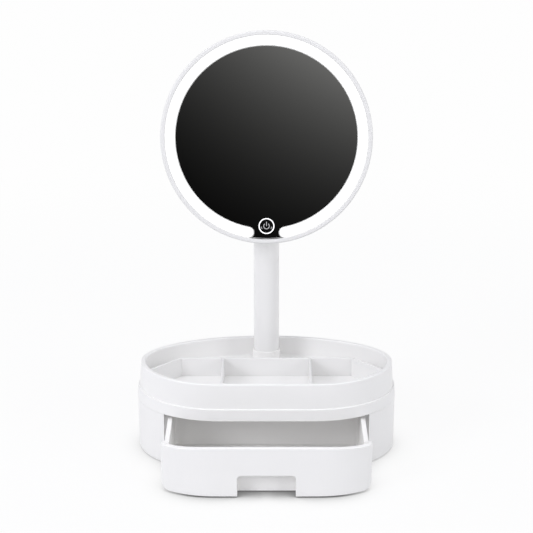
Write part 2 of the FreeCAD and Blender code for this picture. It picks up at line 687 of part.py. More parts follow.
def front_frame():
    # front ring with the plate that carries glass and light; a rib centres it in the back cover
    part = body("front_frame")
    rib, rib_back = "head_radius - cover_wall - rib_fit", "parting - frame_rib_height"
    turn = turned(part, [
        ("0", "parting"), (f"{rib} - frame_rib", "parting"), (f"{rib} - frame_rib", rib_back),
        (rib, rib_back), (rib, "parting"), ("head_radius", "parting"), ("head_radius", "frame_front"),
        (light_outer, "frame_front"), (light_outer, plate_front), ("0", plate_front)])
    middle = number("head_radius - frame_lip / 2")
    outer = dress(part, "Fillet", turn, "lip_radius",
                  lambda edge: level(edge, "frame_front") and edge.BoundBox.XMax > middle)
    dress(part, "Chamfer", outer, "lip_edge",
          lambda edge: level(edge, "frame_front") and edge.BoundBox.XMax < middle)
    wires = sketch(part, "parting")
    circle(wires, "0", "-" + touch_offset, "wire_hole")
    circle(wires, "pcb_half_x", f"pcb_inset - {pad_radius}", "wire_hole")
    pocket(part, wires, up=True)
    notch = sketch(part, rib_back)
    rectangle(notch, "-usb_half_x - frame_rib", "usb_half_x + frame_rib", "-head_radius", "-" + board_low)
    pocket(part, notch, "frame_rib_height", up=True)
    pilot = sketch(part, "parting")
    circle(pilot, boss_circle, "0", "screw_radius")
    ring_pattern(part, pocket(part, pilot, "frame_plate - blind_skin", up=True), "boss_count")
    on_head(part)


def mirror_glass():
    # round glass with a tab at the bottom that carries the touch key
    part = body("mirror_glass")
    disc = sketch(part, "glass_front")
    circle(disc, "0", "0", tab_radius)
    pad(part, disc, "glass_thick", back=True)
    ring = sketch(part, "glass_front")
    open_ring(ring, light_outer, glass_radius, "-light_fit")
    cut = pocket(part, ring)
    dress(part, "Chamfer", cut, "glass_edge", lambda edge: level(edge, "glass_front"))
    on_head(part)


def light_diffuser():
    # C-shaped channel: a skin in front and a skirt down to the plate
    part = body("light_diffuser")
    ring = sketch(part, "diffuser_front")
    open_ring(ring, light_outer, glass_radius, "light_fit")
    channel = pad(part, ring, f"diffuser_front - {plate_front}", back=True)
    dress(part, "Chamfer", channel, "glass_edge", lambda edge: level(edge, "diffuser_front"))
    hollow = sketch(part, plate_front)
    open_ring(hollow, light_outer, glass_radius, "light_fit + diffuser_wall")
    pocket(part, hollow, f"diffuser_front - diffuser_skin - {plate_front}", up=True)
    on_head(part)


def led_board():
    part = body("led_board")
    ring = sketch(part, plate_front)
    open_ring(ring, light_outer, glass_radius, "light_fit + diffuser_wall + board_fit")
    pad(part, ring, "board_thick")
    on_head(part)


def leds():
    part = body("leds", many=True)
    chip = sketch(part, f"{plate_front} + board_thick")
    middle = f"({light_outer} - light_width / 2)"
    start = "(led_angle / 2 - 90)"
    across, along = "led_width / 2", "led_length / 2"
    corners = ((across, along), (f"-{across}", along), (f"-{across}", f"-{along}"), (across, f"-{along}"))
    polygon(chip, [(f"({middle} + {u}) * cos{start} + {v} * sin{start}",
                    f"-({middle} + {u}) * sin{start} + {v} * cos{start}") for u, v in corners])
    ring_pattern(part, pad(part, chip, "led_height"), "led_count", "led_angle")
    on_head(part)


def round_pad(label, y, radius):
    # pad between the frame's plate and the back of the glass
    part = body(label)
    disc = sketch(part, plate_front)
    circle(disc, "0", y, radius)
    pad(part, disc, f"glass_front - glass_thick - {plate_front}")
    on_head(part)


def control_board():
    part = body("control_board")
    board = sketch(part, f"{board_top} - pcb_thick")
    rectangle(board, "-pcb_half_x", "pcb_half_x", "-" + board_low, "-" + board_high)
    pad(part, board, "pcb_thick")
    chip = sketch(part, board_top)
    low = f"-{board_high} - 2 * chip_size"
    rectangle(chip, "-chip_size / 2", "chip_size / 2", low, f"{low} + chip_size")
    pad(part, chip, "chip_height")
    on_head(part)


def usb_socket():
    # folded metal shell of the charging socket, with its contact tongue
    part = body("usb_socket")
    front = sketch(part, usb_reach, role="XZ_Plane")
    rectangle(front, "-usb_half_x", "usb_half_x", board_top, f"{board_top} + usb_height")
    shell = pad(part, front, "usb_length", back=True)
    dress(part, "Fillet", shell, "usb_height / 2.1",
          lambda edge: edge.BoundBox.YLength > 1 and edge.BoundBox.XLength + edge.BoundBox.ZLength < 0.01)
    mouth = sketch(part, usb_reach, role="XZ_Plane")
    rectangle(mouth, "3 * usb_wall - usb_half_x", "usb_half_x - 3 * usb_wall",
              f"{board_top} + 2 * usb_wall", f"{board_top} + usb_height - 2 * usb_wall")
    pocket(part, mouth, "usb_length - usb_back")
    tongue = sketch(part, f"{usb_reach} - usb_back", role="XZ_Plane")
    rectangle(tongue, "6 * usb_wall - usb_half_x", "usb_half_x - 6 * usb_wall",
              f"{board_top} + usb_height / 2 - usb_wall", f"{board_top} + usb_height / 2 + usb_wall")
    pad(part, tongue, "usb_length - 1.5 * usb_back", back=True)
    on_head(part)


def battery():
    part = body("battery")
    cell = sketch(part, cover_inside)
    rectangle(cell, "-battery_half_x", "battery_half_x", "battery_low", "battery_high")
    pouch = pad(part, cell, "battery_thick")
    top = number(f"{cover_inside} + battery_thick / 2")
    dress(part, "Fillet", pouch, "battery_radius", lambda edge: upright(edge) or edge.BoundBox.ZMin > top)
    on_head(part)


# ---------------------------------------------------------------- drawer

def in_bay(part):
    place(part, "-rest_pull")


def drawer_box():
    # open box: floor, two sides with an outward lip, a back, and the finger pocket at its front
    part = body("drawer_box")
    outside = "drawer_half - lip_width"
    back = "drawer_length - half_depth"
    fit = "housing_step + front_thick + front_fit"
    block = sketch(part, "drawer_base")
    rectangle(block, f"-({outside})", outside, "-half_depth", back)
    solid = pad(part, block, "drawer_top - drawer_base")
    corner = dress(part, "Fillet", solid, "corner_radius",
                   lambda edge: upright(edge) and edge.BoundBox.YMin > 0)
    inside = sketch(part, "drawer_top")
    wall = "drawer_wall"
    side = f"{outside} - {wall}"
    rectangle(inside, f"-({side})", side, "-half_depth - past", f"{back} - {wall}")
    room = pocket(part, inside, f"drawer_top - drawer_base - {wall}")
    near = number(back) - number("drawer_wall") - 0.01
    dress(part, "Fillet", room, "corner_radius - drawer_wall",
          lambda edge: upright(edge) and near < edge.BoundBox.YMin < near + 0.1)

    lips = sketch(part, "drawer_top - lip_height")
    for left, right in ((f"{outside} - root", "drawer_half"), ("-drawer_half", f"root - ({outside})")):
        rectangle(lips, left, right, "-half_depth", f"{back} - corner_radius")
    pad(part, lips, "lip_height - lip_groove")

    cell = sketch(part, "grip_low")
    rear = "grip_depth - half_depth + housing_step"
    rectangle(cell, "-grip_half - grip_wall", "grip_half + grip_wall", "-half_depth", f"{rear} + grip_wall")
    pad(part, cell, "grip_top + grip_head_room + grip_wall - grip_low")
    hollow = sketch(part, "grip_low - past")
    rectangle(hollow, "-grip_half", "grip_half", "-half_depth - past", rear)
    pocket(part, hollow, "grip_top + grip_head_room - grip_low + past", up=True)

    trim = sketch(part, "rim_height")
    rectangle(trim, "-reach", "reach", "-reach", "reach")
    oval(trim, fit, front_flat)
    pocket(part, trim)
    wells = (("screw_head_radius + head_fit", "drawer_wall - lug_land"), ("screw_hole", "drawer_wall + root"))
    for radius, depth in wells:
        holes = sketch(part, "drawer_base")
        for x, y in lug_spots():
            circle(holes, x, y, radius)
        pocket(part, holes, depth, up=True)
    in_bay(part)


def lug_spots():
    middle = plan_depth("lug_x", "housing_step + front_thick", front_flat)
    return pairs("lug_x", f"lug_depth / 2 - ({middle})")


def drawer_front():
    # front panel: a strip of the bowed plan that turns back at both ends, with the finger opening
    # and two screw lugs inside
    part = body("drawer_front")
    height = "front_high - front_low"
    face = sketch(part, "front_low")
    oval(face, "housing_step", front_flat)
    pad(part, face, height)
    inner = sketch(part, "front_high")
    oval(inner, "housing_step + front_thick", front_flat)
    pocket(part, inner)
    keep = sketch(part, "front_high")
    rectangle(keep, "-reach", "reach", "-reach", "reach")
    rear = f"-{bay_front} - front_clear"
    rectangle(keep, "-front_half", "front_half", "-half_depth - past", rear)
    pocket(part, keep)
    ends = sketch(part, "front_low")
    middle = "housing_step + front_thick / 2"
    near = f"-({plan_depth('front_half', middle, front_flat)})"
    beside = "drawer_half + front_fit"
    for left, right in ((beside, "front_half"), ("-front_half", f"-({beside})")):
        rectangle(ends, left, right, near, rear)
    strip = pad(part, ends, height)
    end = number("front_half") - 0.01

    def outside(point):
        return abs(point.X) > end or -point.Y > number(plan_depth(abs(point.X), middle, front_flat))

    corners = dress(part, "Fillet", strip, "front_corner",
                    lambda edge: upright(edge) and abs(edge.Vertexes[0].X) > end
                    and edge.Vertexes[0].Y < number(near))
    dress(part, "Fillet", corners, "front_radius",
          lambda edge: (level(edge, "front_high") or level(edge, "front_low"))
          and all(outside(point) for point in edge.Vertexes))

    grip = sketch(part, role="XZ_Plane")
    rectangle(grip, "-grip_half", "grip_half", "front_low - past", "grip_top")
    cut = pocket(part, grip, "reach", up=True)
    half, top = number("grip_half"), number("grip_top")
    corners = dress(part, "Fillet", cut, "grip_radius",
                    lambda edge: abs(abs(edge.BoundBox.XMin) - half) < 0.01
                    and edge.BoundBox.XLength + edge.BoundBox.ZLength < 0.01
                    and abs(edge.BoundBox.ZMin - top) < 0.01)
    face = number("housing_step - half_depth")
    dress(part, "Fillet", corners, "grip_edge",
          lambda edge: abs(edge.BoundBox.YMin - face) < 0.01 and edge.BoundBox.YLength < 0.01
          and max(edge.BoundBox.XMax, -edge.BoundBox.XMin) < half + 0.01 and edge.BoundBox.ZMax < top + 0.01
          and edge.BoundBox.ZMin > number("front_low") - 0.1)

    floor = "drawer_base + drawer_wall"
    lugs = sketch(part, floor)
    sunk = plan_depth("lug_x + lug_width / 2", middle, front_flat)
    back = plan_depth("lug_x", "housing_step + front_thick", front_flat)
    for x, y in pairs("lug_x", "0"):
        rectangle(lugs, f"{x} - lug_width / 2", f"{x} + lug_width / 2", f"-({sunk})", f"lug_depth - ({back})")
    pad(part, lugs, "lug_height")
    pilots = sketch(part, floor)
    for x, y in lug_spots():
        circle(pilots, x, y, "screw_radius")
    pocket(part, pilots, "short_screw_length", up=True)
    in_bay(part)


# ---------------------------------------------------------------- assembly

drawer_housing()
rubber_feet()
deck_band()
organiser_tray()
divider()
column_socket()
posts = pairs("post_x", "post_y") + pairs("post_x", "-post_y")
screws("deck_screws", posts, "deck_screw_length", "body_top - post_land")
screws("socket_screws", socket_spots(), "short_screw_length", flange_under)

column_foot()
column_tube()
foot_washer()
screws("foot_screw", [("0", "0")], "foot_screw_length",
       f"{flange_under} - turn_fit - washer_thick", y="axis_y")
hinge_yoke()
hinge_bolt()
hinge_nut()
friction_washers()

head = {"y": "axis_y", "z": "axis_z", "turn": "90 - head_tilt"}
hinge_bracket()
plate_spots = pairs("plate_screw_x", "plate_screw_y") + pairs("plate_screw_x", "-plate_screw_y")
screws("bracket_screws", plate_spots, "plate_thick + cover_wall - blind_skin - root",
       f"{cover_inside} + plate_thick", down=True, **head)
back_cover()
turns = [f"360 / boss_count * {place_number}" for place_number in range(int(number("boss_count")))]
screws("head_screws", [(f"{boss_circle} * cos({turn})", f"{boss_circle} * sin({turn})") for turn in turns],
       f"{plate_front} - cover_back - screw_sink - blind_skin - root", "cover_back + screw_sink", **head)
front_frame()
round_pad("glass_pad", "0", pad_radius)
round_pad("touch_pad", "-" + touch_offset, "touch_radius")
mirror_glass()
light_diffuser()
led_board()
leds()
control_board()
usb_socket()
battery()

drawer_box()
drawer_front()
screws("drawer_screws", lug_spots(), "short_screw_length", "drawer_base + drawer_wall - lug_land",
       y="-rest_pull")

doc.recompute()
for item in doc.Objects:
    if "Invalid" in item.State or "Error" in item.State:
        raise RuntimeError(f"{item.Name} failed: {item.State}")
for item in doc.Objects:
    if item.TypeId != "PartDesign::Body":
        continue
    shape = item.Shape
    if shape.isNull() or not shape.isValid():
        raise RuntimeError(f"{item.Label} has no valid shape")
    shape.exportStep(f"parts/{item.Label}.step")
    print(f"{item.Label}: {len(shape.Solids)} solid(s), {shape.Volume / 1000:.2f} cm3")
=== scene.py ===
import json
import math
import bmesh
import bpy
from mathutils import Matrix, Vector


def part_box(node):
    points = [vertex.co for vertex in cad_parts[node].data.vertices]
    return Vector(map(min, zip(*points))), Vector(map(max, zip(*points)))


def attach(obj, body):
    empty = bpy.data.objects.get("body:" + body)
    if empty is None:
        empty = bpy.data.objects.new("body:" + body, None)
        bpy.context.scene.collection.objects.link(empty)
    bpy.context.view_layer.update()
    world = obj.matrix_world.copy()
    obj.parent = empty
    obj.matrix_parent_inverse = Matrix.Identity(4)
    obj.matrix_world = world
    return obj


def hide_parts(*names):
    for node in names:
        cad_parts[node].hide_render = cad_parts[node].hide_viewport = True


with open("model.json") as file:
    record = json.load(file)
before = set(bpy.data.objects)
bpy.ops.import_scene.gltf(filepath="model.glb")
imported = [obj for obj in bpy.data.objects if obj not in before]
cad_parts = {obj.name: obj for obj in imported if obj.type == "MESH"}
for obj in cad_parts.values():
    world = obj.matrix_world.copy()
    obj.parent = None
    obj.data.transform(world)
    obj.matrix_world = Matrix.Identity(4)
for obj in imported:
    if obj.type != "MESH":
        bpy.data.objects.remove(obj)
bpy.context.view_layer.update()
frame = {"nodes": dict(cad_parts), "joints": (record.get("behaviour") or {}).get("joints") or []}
nodes = frame["nodes"]

mm = 0.001
weld = 0.001 * mm
noiseSpan = (0.3, 0.7)      # where most of a noise's values lie
tiltJoint = next(joint for joint in frame["joints"] if joint["name"] == "head_tilt")
restTilt = math.radians(-tiltJoint["range_deg"][0])      # how far the head leans back at rest
# the head's own frame: x to the right, y up the mirror, z out through the glass
headFrame = (Matrix.Translation(tiltJoint["pos_m"])
             @ Matrix.Rotation(math.radians(90) - restTilt, 4, "X"))


# small helpers

def link(thing):
    bpy.context.scene.collection.objects.link(thing)
    return thing


def addNode(tree, kind, inputs=None, **settings):
    # a node with its settings; each socket is linked or given a value
    node = tree.nodes.new(kind)
    for name, value in settings.items():
        setattr(node, name, value)
    for socket, value in (inputs or {}).items():
        if isinstance(value, bpy.types.NodeSocket):
            tree.links.new(value, node.inputs[socket])
        else:
            node.inputs[socket].default_value = value
    return node


def maths(tree, operation, first, second=0.0, clamp=False):
    return addNode(tree, "ShaderNodeMath", {0: first, 1: second},
                   operation=operation, use_clamp=clamp).outputs[0]


def times(tree, first, *others):
    for other in others:
        first = maths(tree, "MULTIPLY", first, other)
    return first


def within(tree, value, low, high):
    return maths(tree, "MINIMUM", maths(tree, "MAXIMUM", value, low), high)


def ramp(tree, value, low, high, start=0.0, end=1.0, smooth=False):
    # value between low and high becomes start to end, and stays there outside
    return addNode(tree, "ShaderNodeMapRange",
                   {"Value": value, "From Min": low, "From Max": high,
                    "To Min": start, "To Max": end},
                   interpolation_type="SMOOTHSTEP" if smooth else "LINEAR").outputs[0]


def blendColours(tree, share, first, second):
    return addNode(tree, "ShaderNodeMix", {0: share, 6: first, 7: second},
                   data_type="RGBA").outputs[2]


def blendShaders(tree, share, first, second):
    return addNode(tree, "ShaderNodeMixShader", {0: share, 1: first, 2: second}).outputs[0]


def parts(tree, vector):
    return addNode(tree, "ShaderNodeSeparateXYZ", {0: vector}).outputs


def joinParts(tree, x=0.0, y=0.0, z=0.0):
    return addNode(tree, "ShaderNodeCombineXYZ", {0: x, 1: y, 2: z}).outputs[0]


def floatCurve(tree, value, points, straight=False):
    # a curve through the points, smooth or in straight stretches
    node = addNode(tree, "ShaderNodeFloatCurve", {"Value": value})
    line = node.mapping.curves[0]
    line.points[0].location, line.points[1].location = points[0], points[-1]
    for spot in points[1:-1]:
        line.points.new(*spot)
    if straight:
        for point in line.points:
            point.handle_type = "VECTOR"
    node.mapping.update()
    return node.outputs[0]


def labelOf(key):
    # a value's name as the label of a socket: topDrop becomes Top Drop
    return "".join(" " + letter if letter.isupper() else letter for letter in key).title()


def finishTree(tree, shape, material, result):
    solid = addNode(tree, "GeometryNodeRealizeInstances", {"Geometry": shape}).outputs[0]
    dressed = addNode(tree, "GeometryNodeSetMaterial", {"Geometry": solid, "Material": material})
    tree.links.new(dressed.outputs[0], result)


def newGroup(name, kind, inputs, outputs):
    # a node group with named sockets: (label, type, value) in and (label, type) out
    tree = bpy.data.node_groups.new(name, kind)
    for label, socketType, value in inputs:
        socket = tree.interface.new_socket(label, in_out="INPUT", socket_type=socketType)
        if value is not None:
            socket.default_value = value
    for label, socketType in outputs:
        tree.interface.new_socket(label, in_out="OUTPUT", socket_type=socketType)
    given = tree.nodes.new("NodeGroupInput").outputs
    return tree, given, tree.nodes.new("NodeGroupOutput").inputs


def objectPlace(tree):
    return addNode(tree, "ShaderNodeTexCoord").outputs["Object"]


def noise(tree, place, scale, detail=3.0, roughness=0.5, distortion=0.0):
    return addNode(tree, "ShaderNodeTexNoise",
                   {"Vector": place, "Scale": scale, "Detail": detail,
                    "Roughness": roughness, "Distortion": distortion}).outputs[0]


def mergedCopy(nodeName):
    # a CAD node's loose triangles, joined
    work = bmesh.new()
    work.from_mesh(nodes[nodeName].data)
    bmesh.ops.remove_doubles(work, verts=work.verts, dist=weld)
    return work


def meshFrom(work, name, *materials):
    mesh = bpy.data.meshes.new(name)
    work.to_mesh(mesh)
    work.free()
    for material in materials:
        mesh.materials.append(material)
    return mesh


def islandsOf(nodeName):
    # the separate solids in one CAD node, each as a list of corners, in the same order each run
    work = mergedCopy(nodeName)
    unseen, islands = set(work.verts), []
    for start in work.verts:
        if start not in unseen:
            continue
        unseen.discard(start)
        edge, found = [start], []
        while edge:
            vert = edge.pop()
            found.append(vert.co.copy())
            for joined in vert.link_edges:
                other = joined.other_vert(vert)
                if other in unseen:
                    unseen.discard(other)
                    edge.append(other)
        islands.append(found)
    work.free()
    return sorted(islands, key=lambda corners: tuple(round(c, 5) for c in corners[0]))


# shader groups that several finishes share

grainRule = {"pitScale": 0.6, "fineShare": 0.6, "pitShare": 0.4}


def makeGrain():
    # spark-eroded mould texture: fine pits for a bump, and slow patches for the gloss
    tree, given, result = newGroup(
        "mouldGrain", "ShaderNodeTree",
        [("Scale", "NodeSocketFloat", 2600.0), ("Patch Scale", "NodeSocketFloat", 22.0)],
        [("Height", "NodeSocketFloat"), ("Patch", "NodeSocketFloat")])
    place = objectPlace(tree)
    fine = noise(tree, place, given["Scale"], detail=3.0, roughness=0.55)
    pits = addNode(tree, "ShaderNodeTexVoronoi",
                   {"Vector": place, "Scale": times(tree, given["Scale"], grainRule["pitScale"])},
                   feature="SMOOTH_F1").outputs["Distance"]
    height = maths(tree, "ADD", times(tree, fine, grainRule["fineShare"]),
                   times(tree, pits, grainRule["pitShare"]))
    tree.links.new(height, result["Height"])
    tree.links.new(noise(tree, place, given["Patch Scale"], detail=4.0), result["Patch"])
    return tree


driftRule = {"cloud": (0.35, 0.7), "distortion": 0.4}


def makeDrift():
    # one moulding's slow drift from its colour towards a second one
    tree, given, result = newGroup(
        "toneDrift", "ShaderNodeTree",
        [("Color", "NodeSocketColor", (0.8, 0.8, 0.8, 1)),
         ("Second Color", "NodeSocketColor", (0.7, 0.7, 0.7, 1)),
         ("Scale", "NodeSocketFloat", 9.0), ("Amount", "NodeSocketFloat", 0.4)],
        [("Color", "NodeSocketColor")])
    cloud = noise(tree, objectPlace(tree), given["Scale"], distortion=driftRule["distortion"])
    share = times(tree, ramp(tree, cloud, *driftRule["cloud"]), given["Amount"])
    tree.links.new(blendColours(tree, share, given["Color"], given["Second Color"]),
                   result["Color"])
    return tree


wearRule = {"patch": (0.35, 0.6), "upper": (0.15, 0.45), "samples": 4}


def makeWearAndHighlight():
    # a mask of the edges that hands polish, broken up so that no edge is even, and its
    # upward-facing part for a painted highlight
    tree, given, result = newGroup(
        "edgeWearAndHighlight", "ShaderNodeTree",
        [("Width", "NodeSocketFloat", 0.0008), ("Gain", "NodeSocketFloat", 6.0),
         ("Break Up", "NodeSocketFloat", 60.0)],
        [("Mask", "NodeSocketFloat"), ("Upper Highlight", "NodeSocketFloat")])
    rounded = addNode(tree, "ShaderNodeBevel", {"Radius": given["Width"]},
                      samples=wearRule["samples"])
    flat = addNode(tree, "ShaderNodeNewGeometry").outputs["Normal"]
    same = addNode(tree, "ShaderNodeVectorMath", {0: rounded.outputs[0], 1: flat},
                   operation="DOT_PRODUCT").outputs["Value"]
    edge = maths(tree, "MULTIPLY", maths(tree, "SUBTRACT", 1.0, same), given["Gain"], clamp=True)
    patchy = ramp(tree, noise(tree, objectPlace(tree), given["Break Up"], detail=4.0,
                              roughness=0.6), *wearRule["patch"])
    tree.links.new(times(tree, edge, patchy), result["Mask"])
    own = addNode(tree, "ShaderNodeVectorTransform", {0: rounded.outputs[0]}, vector_type="NORMAL",
                  convert_from="WORLD", convert_to="OBJECT").outputs[0]
    # the upward-facing share of the edges, for the painted highlight
    upper = ramp(tree, parts(tree, own)["Z"], *wearRule["upper"])
    tree.links.new(times(tree, edge, upper), result["Upper Highlight"])
    return tree


# settings of the painted seam shade
seamShadeRule = {"closed": (0.75, 0.2), "open": (0.5, 0.8), "patchScale": 90.0, "patch": (0.2, 0.7),
            "samples": 4}


def makeSeamShadeAndGrime():
    # painted shade where two surfaces meet: a grime-grey mask from ambient occlusion, broken up by
    # noise
    tree, given, result = newGroup(
        "seamShadeAndGrime", "ShaderNodeTree",
        [("Reach", "NodeSocketFloat", 0.003), ("Amount", "NodeSocketFloat", 0.3)],
        [("Mask", "NodeSocketFloat"), ("Open", "NodeSocketFloat")])
    openness = addNode(tree, "ShaderNodeAmbientOcclusion", {"Distance": given["Reach"]},
                       samples=seamShadeRule["samples"]).outputs["AO"]
    closed = ramp(tree, openness, *seamShadeRule["closed"])
    patchy = ramp(tree, noise(tree, objectPlace(tree), seamShadeRule["patchScale"]), *seamShadeRule["patch"])
    tree.links.new(times(tree, closed, patchy, given["Amount"]), result["Mask"])
    tree.links.new(ramp(tree, openness, *seamShadeRule["open"]), result["Open"])
    return tree


def makeHairlines():
    # the fine parallel lines that brushing or turning leaves in metal
    tree, given, result = newGroup(
        "hairlines", "ShaderNodeTree",
        [("Scale", "NodeSocketFloat", 900.0), ("Stretch", "NodeSocketVector", (1, 1, 30))],
        [("Height", "NodeSocketFloat")])
    place = addNode(tree, "ShaderNodeVectorMath",
                    {0: objectPlace(tree), 1: given["Stretch"]}, operation="MULTIPLY").outputs[0]
    tree.links.new(noise(tree, place, given["Scale"], detail=5.0, roughness=0.7),
                   result["Height"])
    return tree


smudgeRule = {"cloud": (0.5, 0.75), "streak": (1.0, 0.3, 5.0), "streakScale": 40.0,
              "wiped": (0.4, 0.8), "leastWiped": 0.3}


def makeSmudges():
    # wiped fingerprints: soft cloudy patches crossed by finer streaks
    tree, given, result = newGroup(
        "smudges", "ShaderNodeTree",
        [("Scale", "NodeSocketFloat", 14.0), ("Amount", "NodeSocketFloat", 0.03)],
        [("Roughness", "NodeSocketFloat")])
    place = objectPlace(tree)
    cloud = ramp(tree, noise(tree, place, given["Scale"], detail=4.0, roughness=0.6,
                             distortion=0.8), *smudgeRule["cloud"])
    streak = addNode(tree, "ShaderNodeVectorMath", {0: place, 1: smudgeRule["streak"]},
                     operation="MULTIPLY").outputs[0]
    wiped = ramp(tree, noise(tree, streak, smudgeRule["streakScale"], detail=5.0, roughness=0.7),
                 *smudgeRule["wiped"])
    mask = times(tree, cloud, maths(tree, "ADD", wiped, smudgeRule["leastWiped"]))
    tree.links.new(times(tree, mask, given["Amount"]), result["Roughness"])
    return tree


grainGroup, driftGroup, wearAndHighlightGroup = makeGrain(), makeDrift(), makeWearAndHighlight()
seamShadeGroup, hairlineGroup, smudgeGroup = makeSeamShadeAndGrime(), makeHairlines(), makeSmudges()
print("shader groups made")


# finishes

def useGroup(tree, group, **values):
    node = addNode(tree, "ShaderNodeGroup", node_tree=group)
    for label, value in values.items():
        socket = node.inputs[label.replace("_", " ")]
        if isinstance(value, bpy.types.NodeSocket):
            tree.links.new(value, socket)
        else:
            socket.default_value = value
    return node.outputs


def newMaterial(name):
    material = bpy.data.materials.new(name)
    material.use_nodes = True
    shader = material.node_tree.nodes["Principled BSDF"]
    return material, material.node_tree, shader


def rgba(colour):
    return (*colour, 1.0)


def plastic(name, look):
    # a moulded plastic: drifting tone, painted shade in the seams, polished edges, a painted
    # highlight on upper edges, eroded grain
    material, tree, shader = newMaterial(name)
    base = useGroup(tree, driftGroup, Color=rgba(look["colour"]),
                    Second_Color=rgba(look["second"]), Scale=look["driftScale"],
                    Amount=look["drift"])["Color"]
    seams = useGroup(tree, seamShadeGroup, Reach=look["seamShadeReach"], Amount=look["dirt"])
    # painted shade: the seams are blended towards a darker grey where occlusion is close
    base = blendColours(tree, seams["Mask"], base, rgba(look["seamShadeColour"]))
    edges = useGroup(tree, wearAndHighlightGroup, Width=look["wearWidth"], Gain=look["wear"])
    # painted highlight: upper edges away from closed seams are painted whiter
    crest = times(tree, edges["Upper Highlight"], seams["Open"])
    highlightTone = [min(part * look["crest"], look["palest"]) for part in look["colour"]]
    base = blendColours(tree, crest, base, rgba(highlightTone))
    grain = useGroup(tree, grainGroup, Scale=look["grainScale"])
    rough = ramp(tree, grain["Patch"], *noiseSpan, look["roughness"] - look["roughSpread"],
                 look["roughness"] + look["roughSpread"])
    rough = maths(tree, "SUBTRACT", rough, times(tree, edges["Mask"], look["polish"]), clamp=True)
    bump = addNode(tree, "ShaderNodeBump", {"Height": grain["Height"], "Strength": look["bump"],
                                            "Distance": look["grainDepth"]})
    tree.links.new(base, shader.inputs["Base Color"])
    tree.links.new(rough, shader.inputs["Roughness"])
    tree.links.new(bump.outputs[0], shader.inputs["Normal"])
    shader.inputs["IOR"].default_value = look["ior"]
    return material


shellLook = {
    "colour": (0.885, 0.88, 0.868), "second": (0.872, 0.868, 0.858), "driftScale": 9.0,
    # the seam values paint shade into the seams
    "drift": 0.5, "seamShadeColour": (0.62, 0.60, 0.57), "seamShadeReach": 2.5 * mm, "dirt": 0.22,
    # crest and palest paint a highlight on upper edges
    "wearWidth": 1.2 * mm, "wear": 9.0, "polish": 0.12, "crest": 1.03, "palest": 0.97,
    "roughness": 0.36, "roughSpread": 0.05, "grainScale": 2600.0, "grainDepth": 0.02 * mm,
    "bump": 0.35, "ior": 1.53}
shellFinish = plastic("satinShell", shellLook)
frameFinish = plastic("frameMoulding", {**shellLook, "colour": (0.79, 0.787, 0.78),
                                       "second": (0.78, 0.777, 0.77), "dirt": 0.0, "wear": 0.0,
                                       "bump": 0.1, "roughness": 0.42})
# painted light: a paler copy of the shell's white brightens the inner pieces, which sit in shade
innerLitFinish = plastic("innerLitCopy", {**shellLook, "colour": (0.93, 0.922, 0.905),
                                        "second": (0.915, 0.907, 0.89), "roughness": 0.46,
                                        "bump": 0.5, "dirt": 0.08, "grainScale": 1900.0})
# painted shade: a darker copy of the shell's white for the divider
dividerShadedFinish = plastic("dividerShadedCopy", {**shellLook, "colour": (0.84, 0.836, 0.828),
                                            "second": (0.83, 0.826, 0.818), "bump": 0.3})
nylonFinish = plastic("bracketNylon", {**shellLook, "colour": (0.80, 0.80, 0.79),
                                       "second": (0.74, 0.74, 0.72), "roughness": 0.5})
washerFinish = plastic("washerNylon", {**shellLook, "colour": (0.68, 0.66, 0.60),
                                       "second": (0.60, 0.58, 0.52), "roughness": 0.5})
rubberFinish = plastic("footRubber", {**shellLook, "colour": (0.62, 0.62, 0.62),
                                      "second": (0.54, 0.54, 0.54), "roughness": 0.75,
                                      "grainScale": 1400.0, "bump": 0.8, "polish": 0.05,
                                      "ior": 1.45})
foamFinish = plastic("padFoam", {**shellLook, "colour": (0.05, 0.05, 0.05),
                                 "second": (0.08, 0.08, 0.08), "roughness": 0.9,
                                 "grainScale": 900.0, "bump": 1.0, "grainDepth": 0.2 * mm,
                                 "dirt": 0.0, "ior": 1.4})
boardFinish = plastic("boardMask", {**shellLook, "colour": (0.80, 0.82, 0.79),
                                    "second": (0.74, 0.77, 0.73), "roughness": 0.3,
                                    "grainScale": 3600.0, "bump": 0.2})
chipFinish = plastic("lampResin", {**shellLook, "colour": (0.85, 0.70, 0.22),
                                   "second": (0.78, 0.60, 0.16), "roughness": 0.2,
                                   "bump": 0.15, "dirt": 0.0})


def metal(name, look):
    material, tree, shader = newMaterial(name)
    base = useGroup(tree, driftGroup, Color=rgba(look["colour"]),
                    Second_Color=rgba(look["second"]), Scale=look["driftScale"],
                    Amount=look["drift"])["Color"]
    lines = useGroup(tree, hairlineGroup, Scale=look["lineScale"],
                     Stretch=look["stretch"])["Height"]
    bump = addNode(tree, "ShaderNodeBump", {"Height": lines, "Strength": look["bump"],
                                            "Distance": look["lineDepth"]})
    rough = ramp(tree, lines, *noiseSpan, look["roughness"] - look["roughSpread"],
                 look["roughness"] + look["roughSpread"])
    tree.links.new(base, shader.inputs["Base Color"])
    tree.links.new(rough, shader.inputs["Roughness"])
    tree.links.new(bump.outputs[0], shader.inputs["Normal"])
    shader.inputs["Metallic"].default_value = 1.0
    return material


steelLook = {"colour": (0.62, 0.62, 0.63), "second": (0.52, 0.52, 0.54), "driftScale": 60.0,
             "drift": 0.6, "lineScale": 700.0, "lineDepth": 0.02 * mm,
             "stretch": (1.0, 1.0, 12.0), "roughness": 0.28, "roughSpread": 0.06, "bump": 0.3}
steelFinish = metal("screwSteel", steelLook)
socketFinish = metal("socketSteel", {**steelLook, "colour": (0.70, 0.70, 0.71),
                                     "stretch": (1.0, 8.0, 1.0), "roughness": 0.22})
foilFinish = metal("cellFoil", {**steelLook, "colour": (0.72, 0.73, 0.75), "lineScale": 160.0,
                                "stretch": (1.0, 1.0, 1.0), "roughness": 0.38, "bump": 0.6})

